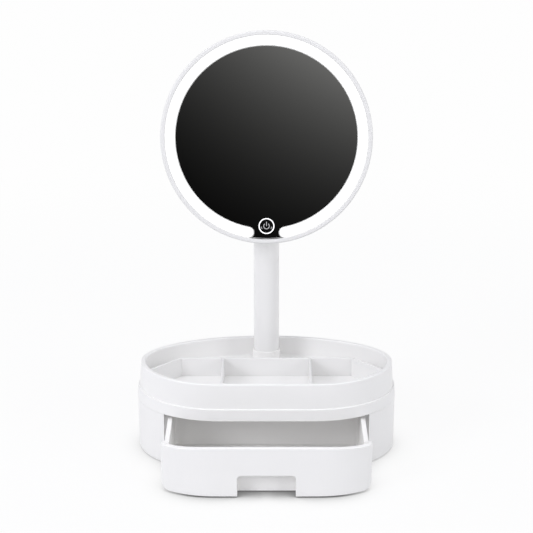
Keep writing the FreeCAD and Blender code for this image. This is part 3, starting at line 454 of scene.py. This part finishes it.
mirrorLook = {"silver": (0.86, 0.86, 0.855), "tarnish": (0.84, 0.845, 0.84),
              "tarnishScale": 6.0, "tarnishShare": 0.5, "smudge": 0.035}


def silveredGlass():
    material, tree, shader = newMaterial("silveredGlass")
    base = useGroup(tree, driftGroup, Color=rgba(mirrorLook["silver"]),
                    Second_Color=rgba(mirrorLook["tarnish"]), Scale=mirrorLook["tarnishScale"],
                    Amount=mirrorLook["tarnishShare"])["Color"]
    tree.links.new(base, shader.inputs["Base Color"])
    tree.links.new(useGroup(tree, smudgeGroup, Amount=mirrorLook["smudge"])["Roughness"],
                   shader.inputs["Roughness"])
    shader.inputs["Metallic"].default_value = 1.0
    return material


mirrorFinish = silveredGlass()

diffuserLook = {"colour": (0.93, 0.93, 0.92), "second": (0.91, 0.91, 0.90), "drift": 0.3,
                "glow": (1.0, 1.0, 0.985), "strength": 0.24, "lampCount": 41,
                "lampTurn": 330.0, "ripple": 0.03, "grainScale": 3200.0,
                "smoothest": 0.42, "roughest": 0.5}


def opalDiffuser():
    # opal acrylic lit from behind; each lamp shows as the faintest brighter patch
    material, tree, shader = newMaterial("opalDiffuser")
    toHead = headFrame.inverted()
    place = addNode(tree, "ShaderNodeMapping",
                    {"Vector": objectPlace(tree), "Location": toHead.to_translation(),
                     "Rotation": toHead.to_euler()}).outputs[0]
    apart = parts(tree, place)
    turn = maths(tree, "ARCTAN2", apart["X"], apart["Y"])
    perTurn = diffuserLook["lampCount"] * 360.0 / diffuserLook["lampTurn"]
    wave = maths(tree, "COSINE", times(tree, turn, perTurn))
    glow = ramp(tree, wave, -1.0, 1.0, 1.0 - diffuserLook["ripple"], 1.0)
    colour = blendColours(tree, glow, (0, 0, 0, 1), rgba(diffuserLook["glow"]))
    tree.links.new(colour, shader.inputs["Emission Color"])
    shader.inputs["Emission Strength"].default_value = diffuserLook["strength"]
    base = useGroup(tree, driftGroup, Color=rgba(diffuserLook["colour"]),
                    Second_Color=rgba(diffuserLook["second"]),
                    Amount=diffuserLook["drift"])["Color"]
    tree.links.new(base, shader.inputs["Base Color"])
    grain = useGroup(tree, grainGroup, Scale=diffuserLook["grainScale"])
    tree.links.new(ramp(tree, grain["Patch"], *noiseSpan, diffuserLook["smoothest"],
                        diffuserLook["roughest"]), shader.inputs["Roughness"])
    return material


diffuserFinish = opalDiffuser()

markLook = {"ringColour": (0.9, 0.9, 0.9), "ringGlow": 0.55,
            "symbolColour": (0.42, 0.42, 0.42), "symbolGlow": 0.12,
            "glow": (1.0, 1.0, 1.0), "inkScale": 900.0, "mottle": 0.93, "roughness": 0.4}


def litPrint(name, colour, strength):
    # translucent white print with the key's own small lamp behind it
    material, tree, shader = newMaterial(name)
    ink = noise(tree, objectPlace(tree), markLook["inkScale"])
    mottled = [part * markLook["mottle"] for part in colour]
    tree.links.new(blendColours(tree, ramp(tree, ink, *noiseSpan), rgba(colour), rgba(mottled)),
                   shader.inputs["Base Color"])
    shader.inputs["Roughness"].default_value = markLook["roughness"]
    shader.inputs["Emission Color"].default_value = rgba(markLook["glow"])
    shader.inputs["Emission Strength"].default_value = strength
    return material


ringFinish = litPrint("keyRing", markLook["ringColour"], markLook["ringGlow"])
symbolFinish = litPrint("keySymbol", markLook["symbolColour"], markLook["symbolGlow"])

finishOf = {
    "shell": shellFinish, "foot_rubber": rubberFinish, "screw_steel": steelFinish,
    "bracket": nylonFinish, "washer_nylon": washerFinish, "mirror": mirrorFinish,
    "pad_foam": foamFinish, "diffuser": diffuserFinish, "board": boardFinish,
    "led_chip": chipFinish, "socket_shell": socketFinish, "cell": foilFinish}
finishOfNode = {"drawer_box": innerLitFinish, "hinge_yoke": innerLitFinish, "column_foot": innerLitFinish,
                "column_socket": innerLitFinish, "front_frame": frameFinish,
                "divider": dividerShadedFinish}

for nodeName, node in nodes.items():
    for place in node.material_slots:
        slotName = place.material.name.split(".")[0]
        place.material = finishOfNode.get(nodeName, finishOf[slotName])
print("finishes given to", len(nodes), "nodes")


# the touch key's printed marks, just proud of the glass

markSizes = {"below": 85.0 * mm, "glassLevel": 28.8 * mm, "lift": 0.02 * mm, "thick": 0.06 * mm,
             "ringRadius": 7.1 * mm, "ringWidth": 1.0 * mm, "ringSteps": 72,
             "powerRadius": 2.7 * mm, "powerWidth": 0.7 * mm, "powerSteps": 40,
             "powerGap": 38.0, "barLength": 4.2 * mm,
             "arcRadius": 5.0 * mm, "arcWidth": 0.6 * mm, "arcSteps": 8,
             "arcMiddles": (110, 250), "arcHalf": 12}


def band(work, centre, radius, width, start, end, steps, level, thick):
    # a flat band along an arc or a whole circle, angles in degrees from up the mirror
    closed = abs(end - start) >= 360
    rows = []
    for step in range(steps if closed else steps + 1):
        angle = math.radians(start + (end - start) * step / steps)
        across = Vector((math.sin(angle), math.cos(angle), 0))
        rows.append([work.verts.new(centre + across * (radius + side * width / 2)
                                    + Vector((0, 0, height)))
                     for side, height in ((-1, level), (1, level), (1, level + thick),
                                          (-1, level + thick))])
    for index in range(len(rows) if closed else len(rows) - 1):
        here, there = rows[index], rows[(index + 1) % len(rows)]
        for corner in range(4):
            following = (corner + 1) % 4
            work.faces.new((here[corner], here[following], there[following], there[corner]))
    if not closed:
        work.faces.new(rows[0][::-1])
        work.faces.new(rows[-1])


def slab(work, low, high):
    outline = ((low[0], low[1]), (high[0], low[1]), (high[0], high[1]), (low[0], high[1]))
    corners = [work.verts.new((x, y, z)) for z in (low[2], high[2]) for x, y in outline]
    for face in ((0, 3, 2, 1), (4, 5, 6, 7), (0, 1, 5, 4), (1, 2, 6, 5), (2, 3, 7, 6),
                 (3, 0, 4, 7)):
        work.faces.new([corners[index] for index in face])


def headPiece(name, work, material):
    # a piece drawn in the head's frame, put in place in its mesh
    bmesh.ops.recalc_face_normals(work, faces=work.faces)
    mesh = meshFrom(work, name, material)
    mesh.transform(headFrame)
    piece = link(bpy.data.objects.new(name, mesh))
    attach(piece, "head")


def makeTouchMarks():
    keyCentre = Vector((0, -markSizes["below"], 0))
    level, thick = markSizes["glassLevel"] + markSizes["lift"], markSizes["thick"]

    def drawArc(work, kind, start, end):
        band(work, keyCentre, markSizes[kind + "Radius"], markSizes[kind + "Width"], start, end,
             markSizes[kind + "Steps"], level, thick)

    work = bmesh.new()
    drawArc(work, "ring", 0, 360)
    headPiece("touchRing", work, ringFinish)
    work = bmesh.new()
    drawArc(work, "power", markSizes["powerGap"], 360 - markSizes["powerGap"])
    half = markSizes["powerWidth"] / 2
    slab(work, (-half, keyCentre.y, level),
         (half, keyCentre.y + markSizes["barLength"], level + thick))
    headPiece("powerSymbol", work, symbolFinish)
    work = bmesh.new()
    for middle in markSizes["arcMiddles"]:
        drawArc(work, "arc", middle - markSizes["arcHalf"], middle + markSizes["arcHalf"])
    headPiece("levelMarks", work, symbolFinish)


makeTouchMarks()
print("touch key marked")


# screws, turned to shape by one geometry node tree

screwForm = {"segments": 24, "rows": 64, "headRows": 0.3, "tipPower": 0.6, "bladeTop": 1.05,
             "bladeFoot": 0.35, "rimShare": 0.9, "seed": 7}
screwSizes = {"tipLength": 2.0 * mm, "threadDepth": 0.32 * mm, "pitch": 1.25 * mm,
              "recessLength": 0.62, "recessWidth": 0.15, "recessDepth": 0.55}
headProfile = {      # outwards over the head: share of its radius, and how far down its height
    "radius": ((0, 0), (0.3, 0.62), (0.5, 0.88), (0.62, 0.97), (0.72, 1), (0.9, 1), (1, 1)),
    "drop": ((0, 0), (0.3, 0.12), (0.5, 0.3), (0.62, 0.5), (0.72, 0.72), (0.9, 1), (1, 1))}


def makeScrewTree():
    tree, given, result = newGroup(
        "crossScrew", "GeometryNodeTree",
        [("Spots", "NodeSocketGeometry", None), ("Head Radius", "NodeSocketFloat", 2.5 * mm),
         ("Head Height", "NodeSocketFloat", 1.5 * mm),
         ("Shank Radius", "NodeSocketFloat", 1.3 * mm), ("Length", "NodeSocketFloat", 10 * mm)]
        + [(labelOf(key), "NodeSocketFloat", value) for key, value in screwSizes.items()]
        + [("Turn", "NodeSocketVector", (0, 0, 0)), ("Seed", "NodeSocketInt", screwForm["seed"]),
           ("Material", "NodeSocketMaterial", None)],
        [("Screws", "NodeSocketGeometry")])
    segments, rows, split = screwForm["segments"], screwForm["rows"], screwForm["headRows"]
    sheet = addNode(tree, "GeometryNodeMeshGrid",
                    {"Size X": 1.0, "Size Y": 1.0, "Vertices X": segments + 1,
                     "Vertices Y": rows + 1}).outputs["Mesh"]
    where = parts(tree, addNode(tree, "GeometryNodeInputPosition").outputs[0])
    around = maths(tree, "ADD", where["X"], 0.5)
    along = maths(tree, "ADD", where["Y"], 0.5)
    # the head: a low dome, a rounded rim, then in under the head to the shank
    headShare = ramp(tree, along, 0.0, split)
    headRadius = times(tree, floatCurve(tree, headShare, headProfile["radius"], straight=True),
                       given["Head Radius"])
    headDrop = times(tree, floatCurve(tree, headShare, headProfile["drop"], straight=True),
                     given["Head Height"])
    # the shank: a straight root, a helical thread on it, and a cone for the tip
    shankShare = ramp(tree, along, split, 1.0)
    reach = maths(tree, "SUBTRACT", given["Length"], given["Head Height"])
    shankDrop = maths(tree, "ADD", given["Head Height"], times(tree, shankShare, reach))
    phase = maths(tree, "ADD", maths(tree, "DIVIDE", shankDrop, given["Pitch"]), around)
    crest = times(tree, maths(tree, "PINGPONG", phase, 0.5), 2.0)
    root = maths(tree, "SUBTRACT", given["Shank Radius"], given["Thread Depth"])
    threaded = maths(tree, "ADD", root, times(tree, crest, given["Thread Depth"]))
    tip = maths(tree, "DIVIDE", maths(tree, "SUBTRACT", given["Length"], shankDrop),
                given["Tip Length"], clamp=True)
    shankRadius = times(tree, threaded, maths(tree, "POWER", tip, screwForm["tipPower"]))
    onShank = maths(tree, "GREATER_THAN", along, split + 0.5 / rows)

    def headOrShank(head, shank):
        return addNode(tree, "GeometryNodeSwitch",
                       {"Switch": onShank, "False": head, "True": shank},
                       input_type="FLOAT").outputs[0]

    radius, drop = headOrShank(headRadius, shankRadius), headOrShank(headDrop, shankDrop)
    turn = times(tree, around, 2 * math.pi)
    place = joinParts(tree, times(tree, radius, maths(tree, "COSINE", turn)),
                      times(tree, radius, maths(tree, "SINE", turn)), times(tree, drop, -1.0))
    lathed = addNode(tree, "GeometryNodeSetPosition",
                     {"Geometry": sheet, "Position": place}).outputs[0]
    closed = addNode(tree, "GeometryNodeMergeByDistance",
                     {"Geometry": lathed, "Distance": weld}).outputs[0]
    # two tapered blades cut the cross recess
    blade = addNode(tree, "GeometryNodeMeshCone",
                    {"Vertices": 4,
                     "Radius Top": times(tree, given["Recess Length"], screwForm["bladeTop"]),
                     "Radius Bottom": times(tree, given["Recess Length"], screwForm["bladeFoot"]),
                     "Depth": times(tree, given["Recess Depth"], 2.0)}).outputs["Mesh"]
    flat = joinParts(tree, 1.0, given["Recess Width"], 1.0)
    size = joinParts(tree, given["Head Radius"], given["Head Radius"], given["Head Height"])
    sunk = joinParts(tree, z=times(tree, given["Head Height"], given["Recess Depth"], -1.0))
    narrow = addNode(tree, "GeometryNodeTransform", {"Geometry": blade, "Scale": flat}).outputs[0]
    sized = addNode(tree, "GeometryNodeTransform", {"Geometry": narrow, "Scale": size}).outputs[0]
    cut = addNode(tree, "GeometryNodeMeshBoolean", {"Mesh 1": closed}, operation="DIFFERENCE",
                  solver="EXACT")
    for quarter in (0, 1):
        turned = addNode(tree, "GeometryNodeTransform",
                         {"Geometry": sized, "Translation": sunk,
                          "Rotation": (0, 0, quarter * math.pi / 2)}).outputs[0]
        tree.links.new(turned, cut.inputs["Mesh 2"])
    spin = addNode(tree, "FunctionNodeRandomValue", {"Seed": given["Seed"]}, data_type="FLOAT")
    spin.inputs[2].default_value, spin.inputs[3].default_value = 0.0, math.pi
    placed = addNode(tree, "GeometryNodeInstanceOnPoints",
                     {"Points": given["Spots"], "Instance": cut.outputs[0],
                      "Rotation": given["Turn"]}).outputs[0]
    spun = addNode(tree, "GeometryNodeRotateInstances",
                   {"Instances": placed,
                    "Rotation": joinParts(tree, z=spin.outputs[1])}).outputs[0]
    finishTree(tree, spun, given["Material"], result["Screws"])
    return tree


def pointsMesh(name, spots):
    mesh = bpy.data.meshes.new(name)
    mesh.from_pydata(spots, [], [])
    return mesh


def runTree(tree, name, mesh, values, evenShade=0):
    # runs a node tree on a mesh and returns the plain mesh it makes
    carrier = link(bpy.data.objects.new(name + "Carrier", mesh))
    modifier = carrier.modifiers.new("shape", "NODES")
    modifier.node_group = tree
    for item in tree.interface.items_tree:
        if item.item_type == "SOCKET" and item.in_out == "INPUT" and item.name in values:
            modifier[item.identifier] = values[item.name]
    if evenShade:      # large faces stay flat in the shading, small fillets turn between them
        weighted = carrier.modifiers.new("shade", "WEIGHTED_NORMAL")
        weighted.keep_sharp, weighted.weight = True, evenShade
    solved = carrier.evaluated_get(bpy.context.evaluated_depsgraph_get())
    made = bpy.data.meshes.new_from_object(solved)
    bpy.data.objects.remove(carrier)
    made.name = name
    return made


up, down = Vector((0, 0, 1)), Vector((0, 0, -1))
backward = -(headFrame.to_3x3() @ up)
screwSets = {      # which way the heads face, and the body they ride on
    "head_screws": (backward, "head"), "bracket_screws": (-backward, "head"),
    "deck_screws": (down, "base"), "socket_screws": (down, "base"),
    "drawer_screws": (down, "drawer"), "foot_screw": (down, "column")}


def makeScrews(tree):
    for nodeName, (facing, body) in screwSets.items():
        spots, headRadius, shankRadius, length = [], 0, 1, 0
        for corners in islandsOf(nodeName):
            heights = [corner.dot(facing) for corner in corners]
            top, bottom = max(heights), min(heights)
            middle = sum(corners, Vector()) / len(corners)
            axis = middle - facing * middle.dot(facing)
            offsets = [((corner - facing * height) - axis).length
                       for corner, height in zip(corners, heights)]
            spots.append(tuple(axis + facing * top))
            headRadius, length = max(headRadius, max(offsets)), top - bottom
            shankRadius = min(shankRadius, max(offset for offset, height in zip(offsets, heights)
                                               if height < (top + bottom) / 2))
            headHeight = top - min(height for offset, height in zip(offsets, heights)
                                   if offset > screwForm["rimShare"] * max(offsets))
        sizes = {"Head Radius": headRadius, "Head Height": headHeight,
                 "Shank Radius": shankRadius, "Length": length}
        print(f"{nodeName}: {len(spots)}", *(f"{label.lower()} {size / mm:.2f} mm"
                                             for label, size in sizes.items()), sep=", ")
        sizes.update({labelOf(key): value for key, value in screwSizes.items()})
        mesh = runTree(tree, nodeName + "Cross", pointsMesh(nodeName + "Spots", spots), {
            **sizes, "Seed": screwForm["seed"], "Material": steelFinish,
            "Turn": up.rotation_difference(facing).to_euler()})
        piece = link(bpy.data.objects.new(nodeName + "Cross", mesh))
        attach(piece, body)
        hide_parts(nodeName)


makeScrews(makeScrewTree())
print("screws made")


# the drawer's front: its top edge falls a little towards both ends, its lower corners are round

frontRule = {"topDrop": 0.4 * mm, "topFall": 2.9 * mm, "levelHalf": 48.0 * mm, "fallEnd": 0.96,
             "topRadius": 1.2 * mm, "topReach": 3.0 * mm, "lowRise": 0.7 * mm,
             "lowRadius": 8.5 * mm, "lowReach": 2.0 * mm, "backTrim": 2.4 * mm,
             "backReach": 6.0 * mm, "trimFrom": 0.65, "trimTo": 0.95}
frontMesh = {"splits": 1, "sharpAngle": 28, "evenShade": 80}


def makeFrontTree():
    tree, given, result = newGroup(
        "fallingFront", "GeometryNodeTree",
        [("Panel", "NodeSocketGeometry", None), ("Splits", "NodeSocketInt", frontMesh["splits"]),
         ("Half Width", "NodeSocketFloat", 99 * mm), ("Bottom", "NodeSocketFloat", 1.2 * mm),
         ("Top", "NodeSocketFloat", 50.7 * mm), ("Back", "NodeSocketFloat", -103.6 * mm)]
        + [(labelOf(key), "NodeSocketFloat", value) for key, value in frontRule.items()]
        + [("Material", "NodeSocketMaterial", None)],
        [("Panel", "NodeSocketGeometry")])
    finer = addNode(tree, "GeometryNodeSubdivideMesh",
                    {"Mesh": given["Panel"], "Level": given["Splits"]}).outputs[0]
    where = parts(tree, addNode(tree, "GeometryNodeInputPosition").outputs[0])
    out = maths(tree, "ABSOLUTE", where["X"])
    share = maths(tree, "DIVIDE", out, given["Half Width"])

    def edgeShift(bow, radius):
        # a shallow bow along the edge, and a quarter circle at its end
        straight = maths(tree, "SUBTRACT", given["Half Width"], radius)
        past = maths(tree, "MAXIMUM", maths(tree, "SUBTRACT", out, straight), 0.0)
        rest = maths(tree, "SUBTRACT", times(tree, radius, radius), times(tree, past, past))
        level = maths(tree, "SQRT", maths(tree, "MAXIMUM", rest, 0.0))
        return maths(tree, "ADD", bow, maths(tree, "SUBTRACT", radius, level))

    fallEnd = times(tree, given["Half Width"], given["Fall End"])
    topBow = ramp(tree, out, given["Level Half"], fallEnd, given["Top Drop"], given["Top Fall"],
                  smooth=True)
    lowBow = times(tree, share, share, given["Low Rise"])
    middle = times(tree, maths(tree, "ADD", given["Top"], given["Bottom"]), 0.5)
    nearTop = ramp(tree, where["Z"], middle,
                   maths(tree, "SUBTRACT", given["Top"], given["Top Reach"]), smooth=True)
    nearLow = ramp(tree, where["Z"], maths(tree, "ADD", given["Bottom"], given["Low Reach"]),
                   middle, 1.0, 0.0, smooth=True)
    fall = times(tree, edgeShift(topBow, given["Top Radius"]), nearTop)
    rise = times(tree, edgeShift(lowBow, given["Low Radius"]), nearLow)
    atEnd = ramp(tree, share, given["Trim From"], given["Trim To"], smooth=True)
    atBack = ramp(tree, where["Y"], maths(tree, "SUBTRACT", given["Back"], given["Back Reach"]),
                  given["Back"], smooth=True)
    shift = joinParts(tree, y=times(tree, atBack, given["Back Trim"], atEnd, -1.0),
                      z=maths(tree, "SUBTRACT", rise, fall))
    bowed = addNode(tree, "GeometryNodeSetPosition",
                    {"Geometry": finer, "Offset": shift}).outputs[0]
    finishTree(tree, bowed, given["Material"], result["Panel"])
    return tree


def makeDrawerFront(tree):
    # starts from the plain moulding, so the finger opening and lugs stay in place
    copied = meshFrom(mergedCopy("drawer_front"), "drawerFrontCopy")
    for polygon in copied.polygons:
        polygon.use_smooth = True
    copied.set_sharp_from_angle(angle=math.radians(frontMesh["sharpAngle"]))
    low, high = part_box("drawer_front")
    mesh = runTree(tree, "drawerFront", copied, {
        "Splits": frontMesh["splits"], "Half Width": (high[0] - low[0]) / 2, "Bottom": low[2],
        "Top": high[2], "Back": high[1], "Material": shellFinish,
        **{labelOf(key): value for key, value in frontRule.items()}}, frontMesh["evenShade"])
    piece = link(bpy.data.objects.new("drawerFront", mesh))
    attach(piece, "drawer")
    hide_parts("drawer_front")
    print("drawer front:", len(mesh.polygons), "faces")


makeDrawerFront(makeFrontTree())


# the studio: floor, surround for reflections, lamps, world and camera

studioSet = {"floorRadius": 14.0, "floorSides": 96, "floorBounce": (0.7, 0.7, 0.7),
             "openFloor": 0.99, "openLight": 1.12, "litShare": 0.10, "contactReach": 30 * mm,
             "contactSamples": 12,
             "contactShade": ((0.20, 0.20), (0.30, 0.27), (0.38, 0.36), (0.46, 0.52),
                              (0.55, 0.72), (0.65, 0.86), (0.80, 0.96), (1.0, 1.0)),
             "contactTone": (0.02, 0.02, 0.02), "contactFront": -125 * mm,
             "contactSide": -70 * mm, "sideContact": 0.8, "contactMiddle": 65 * mm,
             "contactEnd": 100 * mm, "endContact": 0.55, "fadeFrom": 0.45, "fadeTo": 1.1,
             "white": (1.0, 1.0, 1.0), "ambient": (0.594, 0.599, 0.632)}


def bareMaterial(name):
    material, tree = newMaterial(name)[:2]
    tree.nodes.clear()
    return material, tree


def seenDirectly(tree):
    # 1 where the camera sees a surface itself, in a reflection or through something clear
    path = addNode(tree, "ShaderNodeLightPath").outputs
    seen = maths(tree, "MAXIMUM", path["Is Camera Ray"], path["Is Glossy Ray"])
    return maths(tree, "MAXIMUM", seen, path["Is Transmission Ray"])


def makeWorld():
    world = bpy.data.worlds.new("studioAir")
    bpy.context.scene.world = world
    world.use_nodes = True
    tree = world.node_tree
    tree.nodes.clear()
    ambient, white = [addNode(tree, "ShaderNodeBackground", {"Color": rgba(studioSet[name])})
                      .outputs[0] for name in ("ambient", "white")]
    addNode(tree, "ShaderNodeOutputWorld",
            {"Surface": blendShaders(tree, seenDirectly(tree), ambient, white)})


def floorMaterial():
    # pale floor: shaded where something stands close over it, running out to white further off
    material, tree = bareMaterial("paleFloor")
    share = studioSet["litShare"]
    lit = addNode(tree, "ShaderNodeBsdfDiffuse", {"Color": (share, share, share, 1)}).outputs[0]
    even = addNode(tree, "ShaderNodeEmission", {
        "Strength": studioSet["openFloor"] - share * studioSet["openLight"]}).outputs[0]
    clear = addNode(tree, "ShaderNodeAddShader", {0: lit, 1: even}).outputs[0]
    openness = addNode(tree, "ShaderNodeAmbientOcclusion", {"Distance": studioSet["contactReach"]},
                       samples=studioSet["contactSamples"]).outputs["AO"]
    contact = maths(tree, "SUBTRACT", 1.0,
                    floatCurve(tree, openness, studioSet["contactShade"]))
    dark = addNode(tree, "ShaderNodeBsdfDiffuse",
                   {"Color": rgba(studioSet["contactTone"])}).outputs[0]
    place = objectPlace(tree)
    # the shade is deepest at the middle of the front
    apart = parts(tree, place)
    depth = ramp(tree, apart["Y"], studioSet["contactFront"], studioSet["contactSide"], 1.0,
                 studioSet["sideContact"], smooth=True)
    ends = ramp(tree, maths(tree, "ABSOLUTE", apart["X"]), studioSet["contactMiddle"],
                studioSet["contactEnd"], 1.0, studioSet["endContact"], smooth=True)
    near = blendShaders(tree, times(tree, contact, times(tree, depth, ends)), clear, dark)
    far = addNode(tree, "ShaderNodeEmission", {"Strength": studioSet["openFloor"]}).outputs[0]
    reach = addNode(tree, "ShaderNodeVectorMath", {0: place}, operation="LENGTH").outputs["Value"]
    fade = ramp(tree, reach, studioSet["fadeFrom"], studioSet["fadeTo"], smooth=True)
    seen = blendShaders(tree, fade, near, far)
    bounce = addNode(tree, "ShaderNodeBsdfDiffuse",
                     {"Color": rgba(studioSet["floorBounce"])}).outputs[0]
    addNode(tree, "ShaderNodeOutputMaterial",
            {"Surface": blendShaders(tree, seenDirectly(tree), bounce, seen)})
    return material


def makeFloor():
    work = bmesh.new()
    bmesh.ops.create_circle(work, cap_ends=True, segments=studioSet["floorSides"],
                            radius=studioSet["floorRadius"])
    mesh = meshFrom(work, "studioFloor", floorMaterial())
    link(bpy.data.objects.new("studioFloor", mesh))


# a dim surround that only reflections see: it gives the mirror something soft to show
surroundSet = {"radius": 6.0, "height": 0.3, "level": 0.1561, "perAzimuth": 0.01678,
               "perElevation": 0.02975, "curve": 0.00153, "twist": 0.00272,
               "middleElevation": 13.0, "azimuthPeriod": 60.0, "elevationSpan": 9.0,
               "darkest": 0.06, "brightest": 0.5, "tint": (1.0, 0.995, 0.975),
               "lowest": -3.0, "highest": 72.0, "turns": 96, "steps": 24}


def surroundMaterial():
    material, tree = bareMaterial("dimSurround")
    apart = parts(tree, objectPlace(tree))
    azimuth = maths(tree, "ARCTAN2", apart["X"], times(tree, apart["Y"], -1.0))
    perTurn = 360.0 / surroundSet["azimuthPeriod"]
    swing = times(tree, maths(tree, "SINE", times(tree, azimuth, perTurn)),
                  math.degrees(1) / perTurn)
    climb = maths(tree, "DIVIDE", apart["Z"], surroundSet["radius"])
    elevation = times(tree, maths(tree, "ARCSINE", climb), math.degrees(1))
    span = surroundSet["elevationSpan"]
    rise = within(tree, maths(tree, "SUBTRACT", elevation, surroundSet["middleElevation"]),
                  -span, span)
    # brighter upwards and to one side, and more so the further up
    level = maths(tree, "ADD", times(tree, rise, surroundSet["perElevation"]),
                  surroundSet["level"])
    level = maths(tree, "ADD", level, times(tree, rise, rise, surroundSet["curve"]))
    slope = maths(tree, "ADD", times(tree, rise, surroundSet["twist"]), surroundSet["perAzimuth"])
    level = within(tree, maths(tree, "ADD", level, times(tree, swing, slope)),
                   surroundSet["darkest"], surroundSet["brightest"])
    glow = times(tree, maths(tree, "POWER", level, 2.0), 1 / mirrorLook["silver"][0])
    shine = addNode(tree, "ShaderNodeEmission",
                    {"Color": rgba(surroundSet["tint"]), "Strength": glow}).outputs[0]
    addNode(tree, "ShaderNodeOutputMaterial", {"Surface": shine})
    return material


def makeSurround():
    work = bmesh.new()
    radius, turns, steps = surroundSet["radius"], surroundSet["turns"], surroundSet["steps"]
    lowest, highest = surroundSet["lowest"], surroundSet["highest"]
    rows = []
    for step in range(steps + 1):
        angle = math.radians(lowest + (highest - lowest) * step / steps)
        ring, height = radius * math.cos(angle), radius * math.sin(angle)
        rows.append([work.verts.new((ring * math.cos(2 * math.pi * turn / turns),
                                     ring * math.sin(2 * math.pi * turn / turns), height))
                     for turn in range(turns)])
    for low, high in zip(rows, rows[1:]):
        for turn in range(turns):
            after = (turn + 1) % turns
            work.faces.new((low[after], low[turn], high[turn], high[after]))
    mesh = meshFrom(work, "dimSurround", surroundMaterial())
    surround = link(bpy.data.objects.new("dimSurround", mesh))
    surround.location.z = surroundSet["height"]
    surround.visible_camera = surround.visible_diffuse = False
    surround.visible_shadow = surround.visible_transmission = False


lampSet = {      # place, size in metres, watts and colour
    "skyPanel": ((0.0, -0.3, 3.0), 2.6, 25.0, (1.0, 1.0, 1.02)),
    "keyLamp": ((-2.6, -2.0, 1.9), 1.5, 47.0, (1.0, 1.0, 1.04)),
    "fillLamp": ((2.8, -1.8, 1.4), 1.5, 22.5, (1.0, 1.0, 1.01))}
lampAim = (0, 0, 0.18)


def makeLamps():
    for name, (place, size, watts, colour) in lampSet.items():
        data = bpy.data.lights.new(name, "AREA")
        data.shape, data.size, data.energy, data.color = "DISK", size, watts, colour
        lamp = link(bpy.data.objects.new(name, data))
        lamp.location = place
        aim = Vector(lampAim) - Vector(place)
        lamp.rotation_euler = aim.to_track_quat("-Z", "Y").to_euler()


cameraSet = {"place": (0, -1.4802, 0.6664), "pitch": 18.0, "lens": 108.07, "sensor": 36,
             "farthest": 60}


def makeCamera():
    data = bpy.data.cameras.new("camera")
    data.sensor_width, data.lens = cameraSet["sensor"], cameraSet["lens"]
    data.clip_end = cameraSet["farthest"]
    camera = link(bpy.data.objects.new("camera", data))
    camera.location = cameraSet["place"]
    camera.rotation_euler = (math.radians(90 - cameraSet["pitch"]), 0, 0)
    bpy.context.scene.camera = camera


makeWorld()
makeFloor()
makeSurround()
makeLamps()
makeCamera()
bpy.context.scene.view_settings.view_transform = "Standard"
print("studio set")
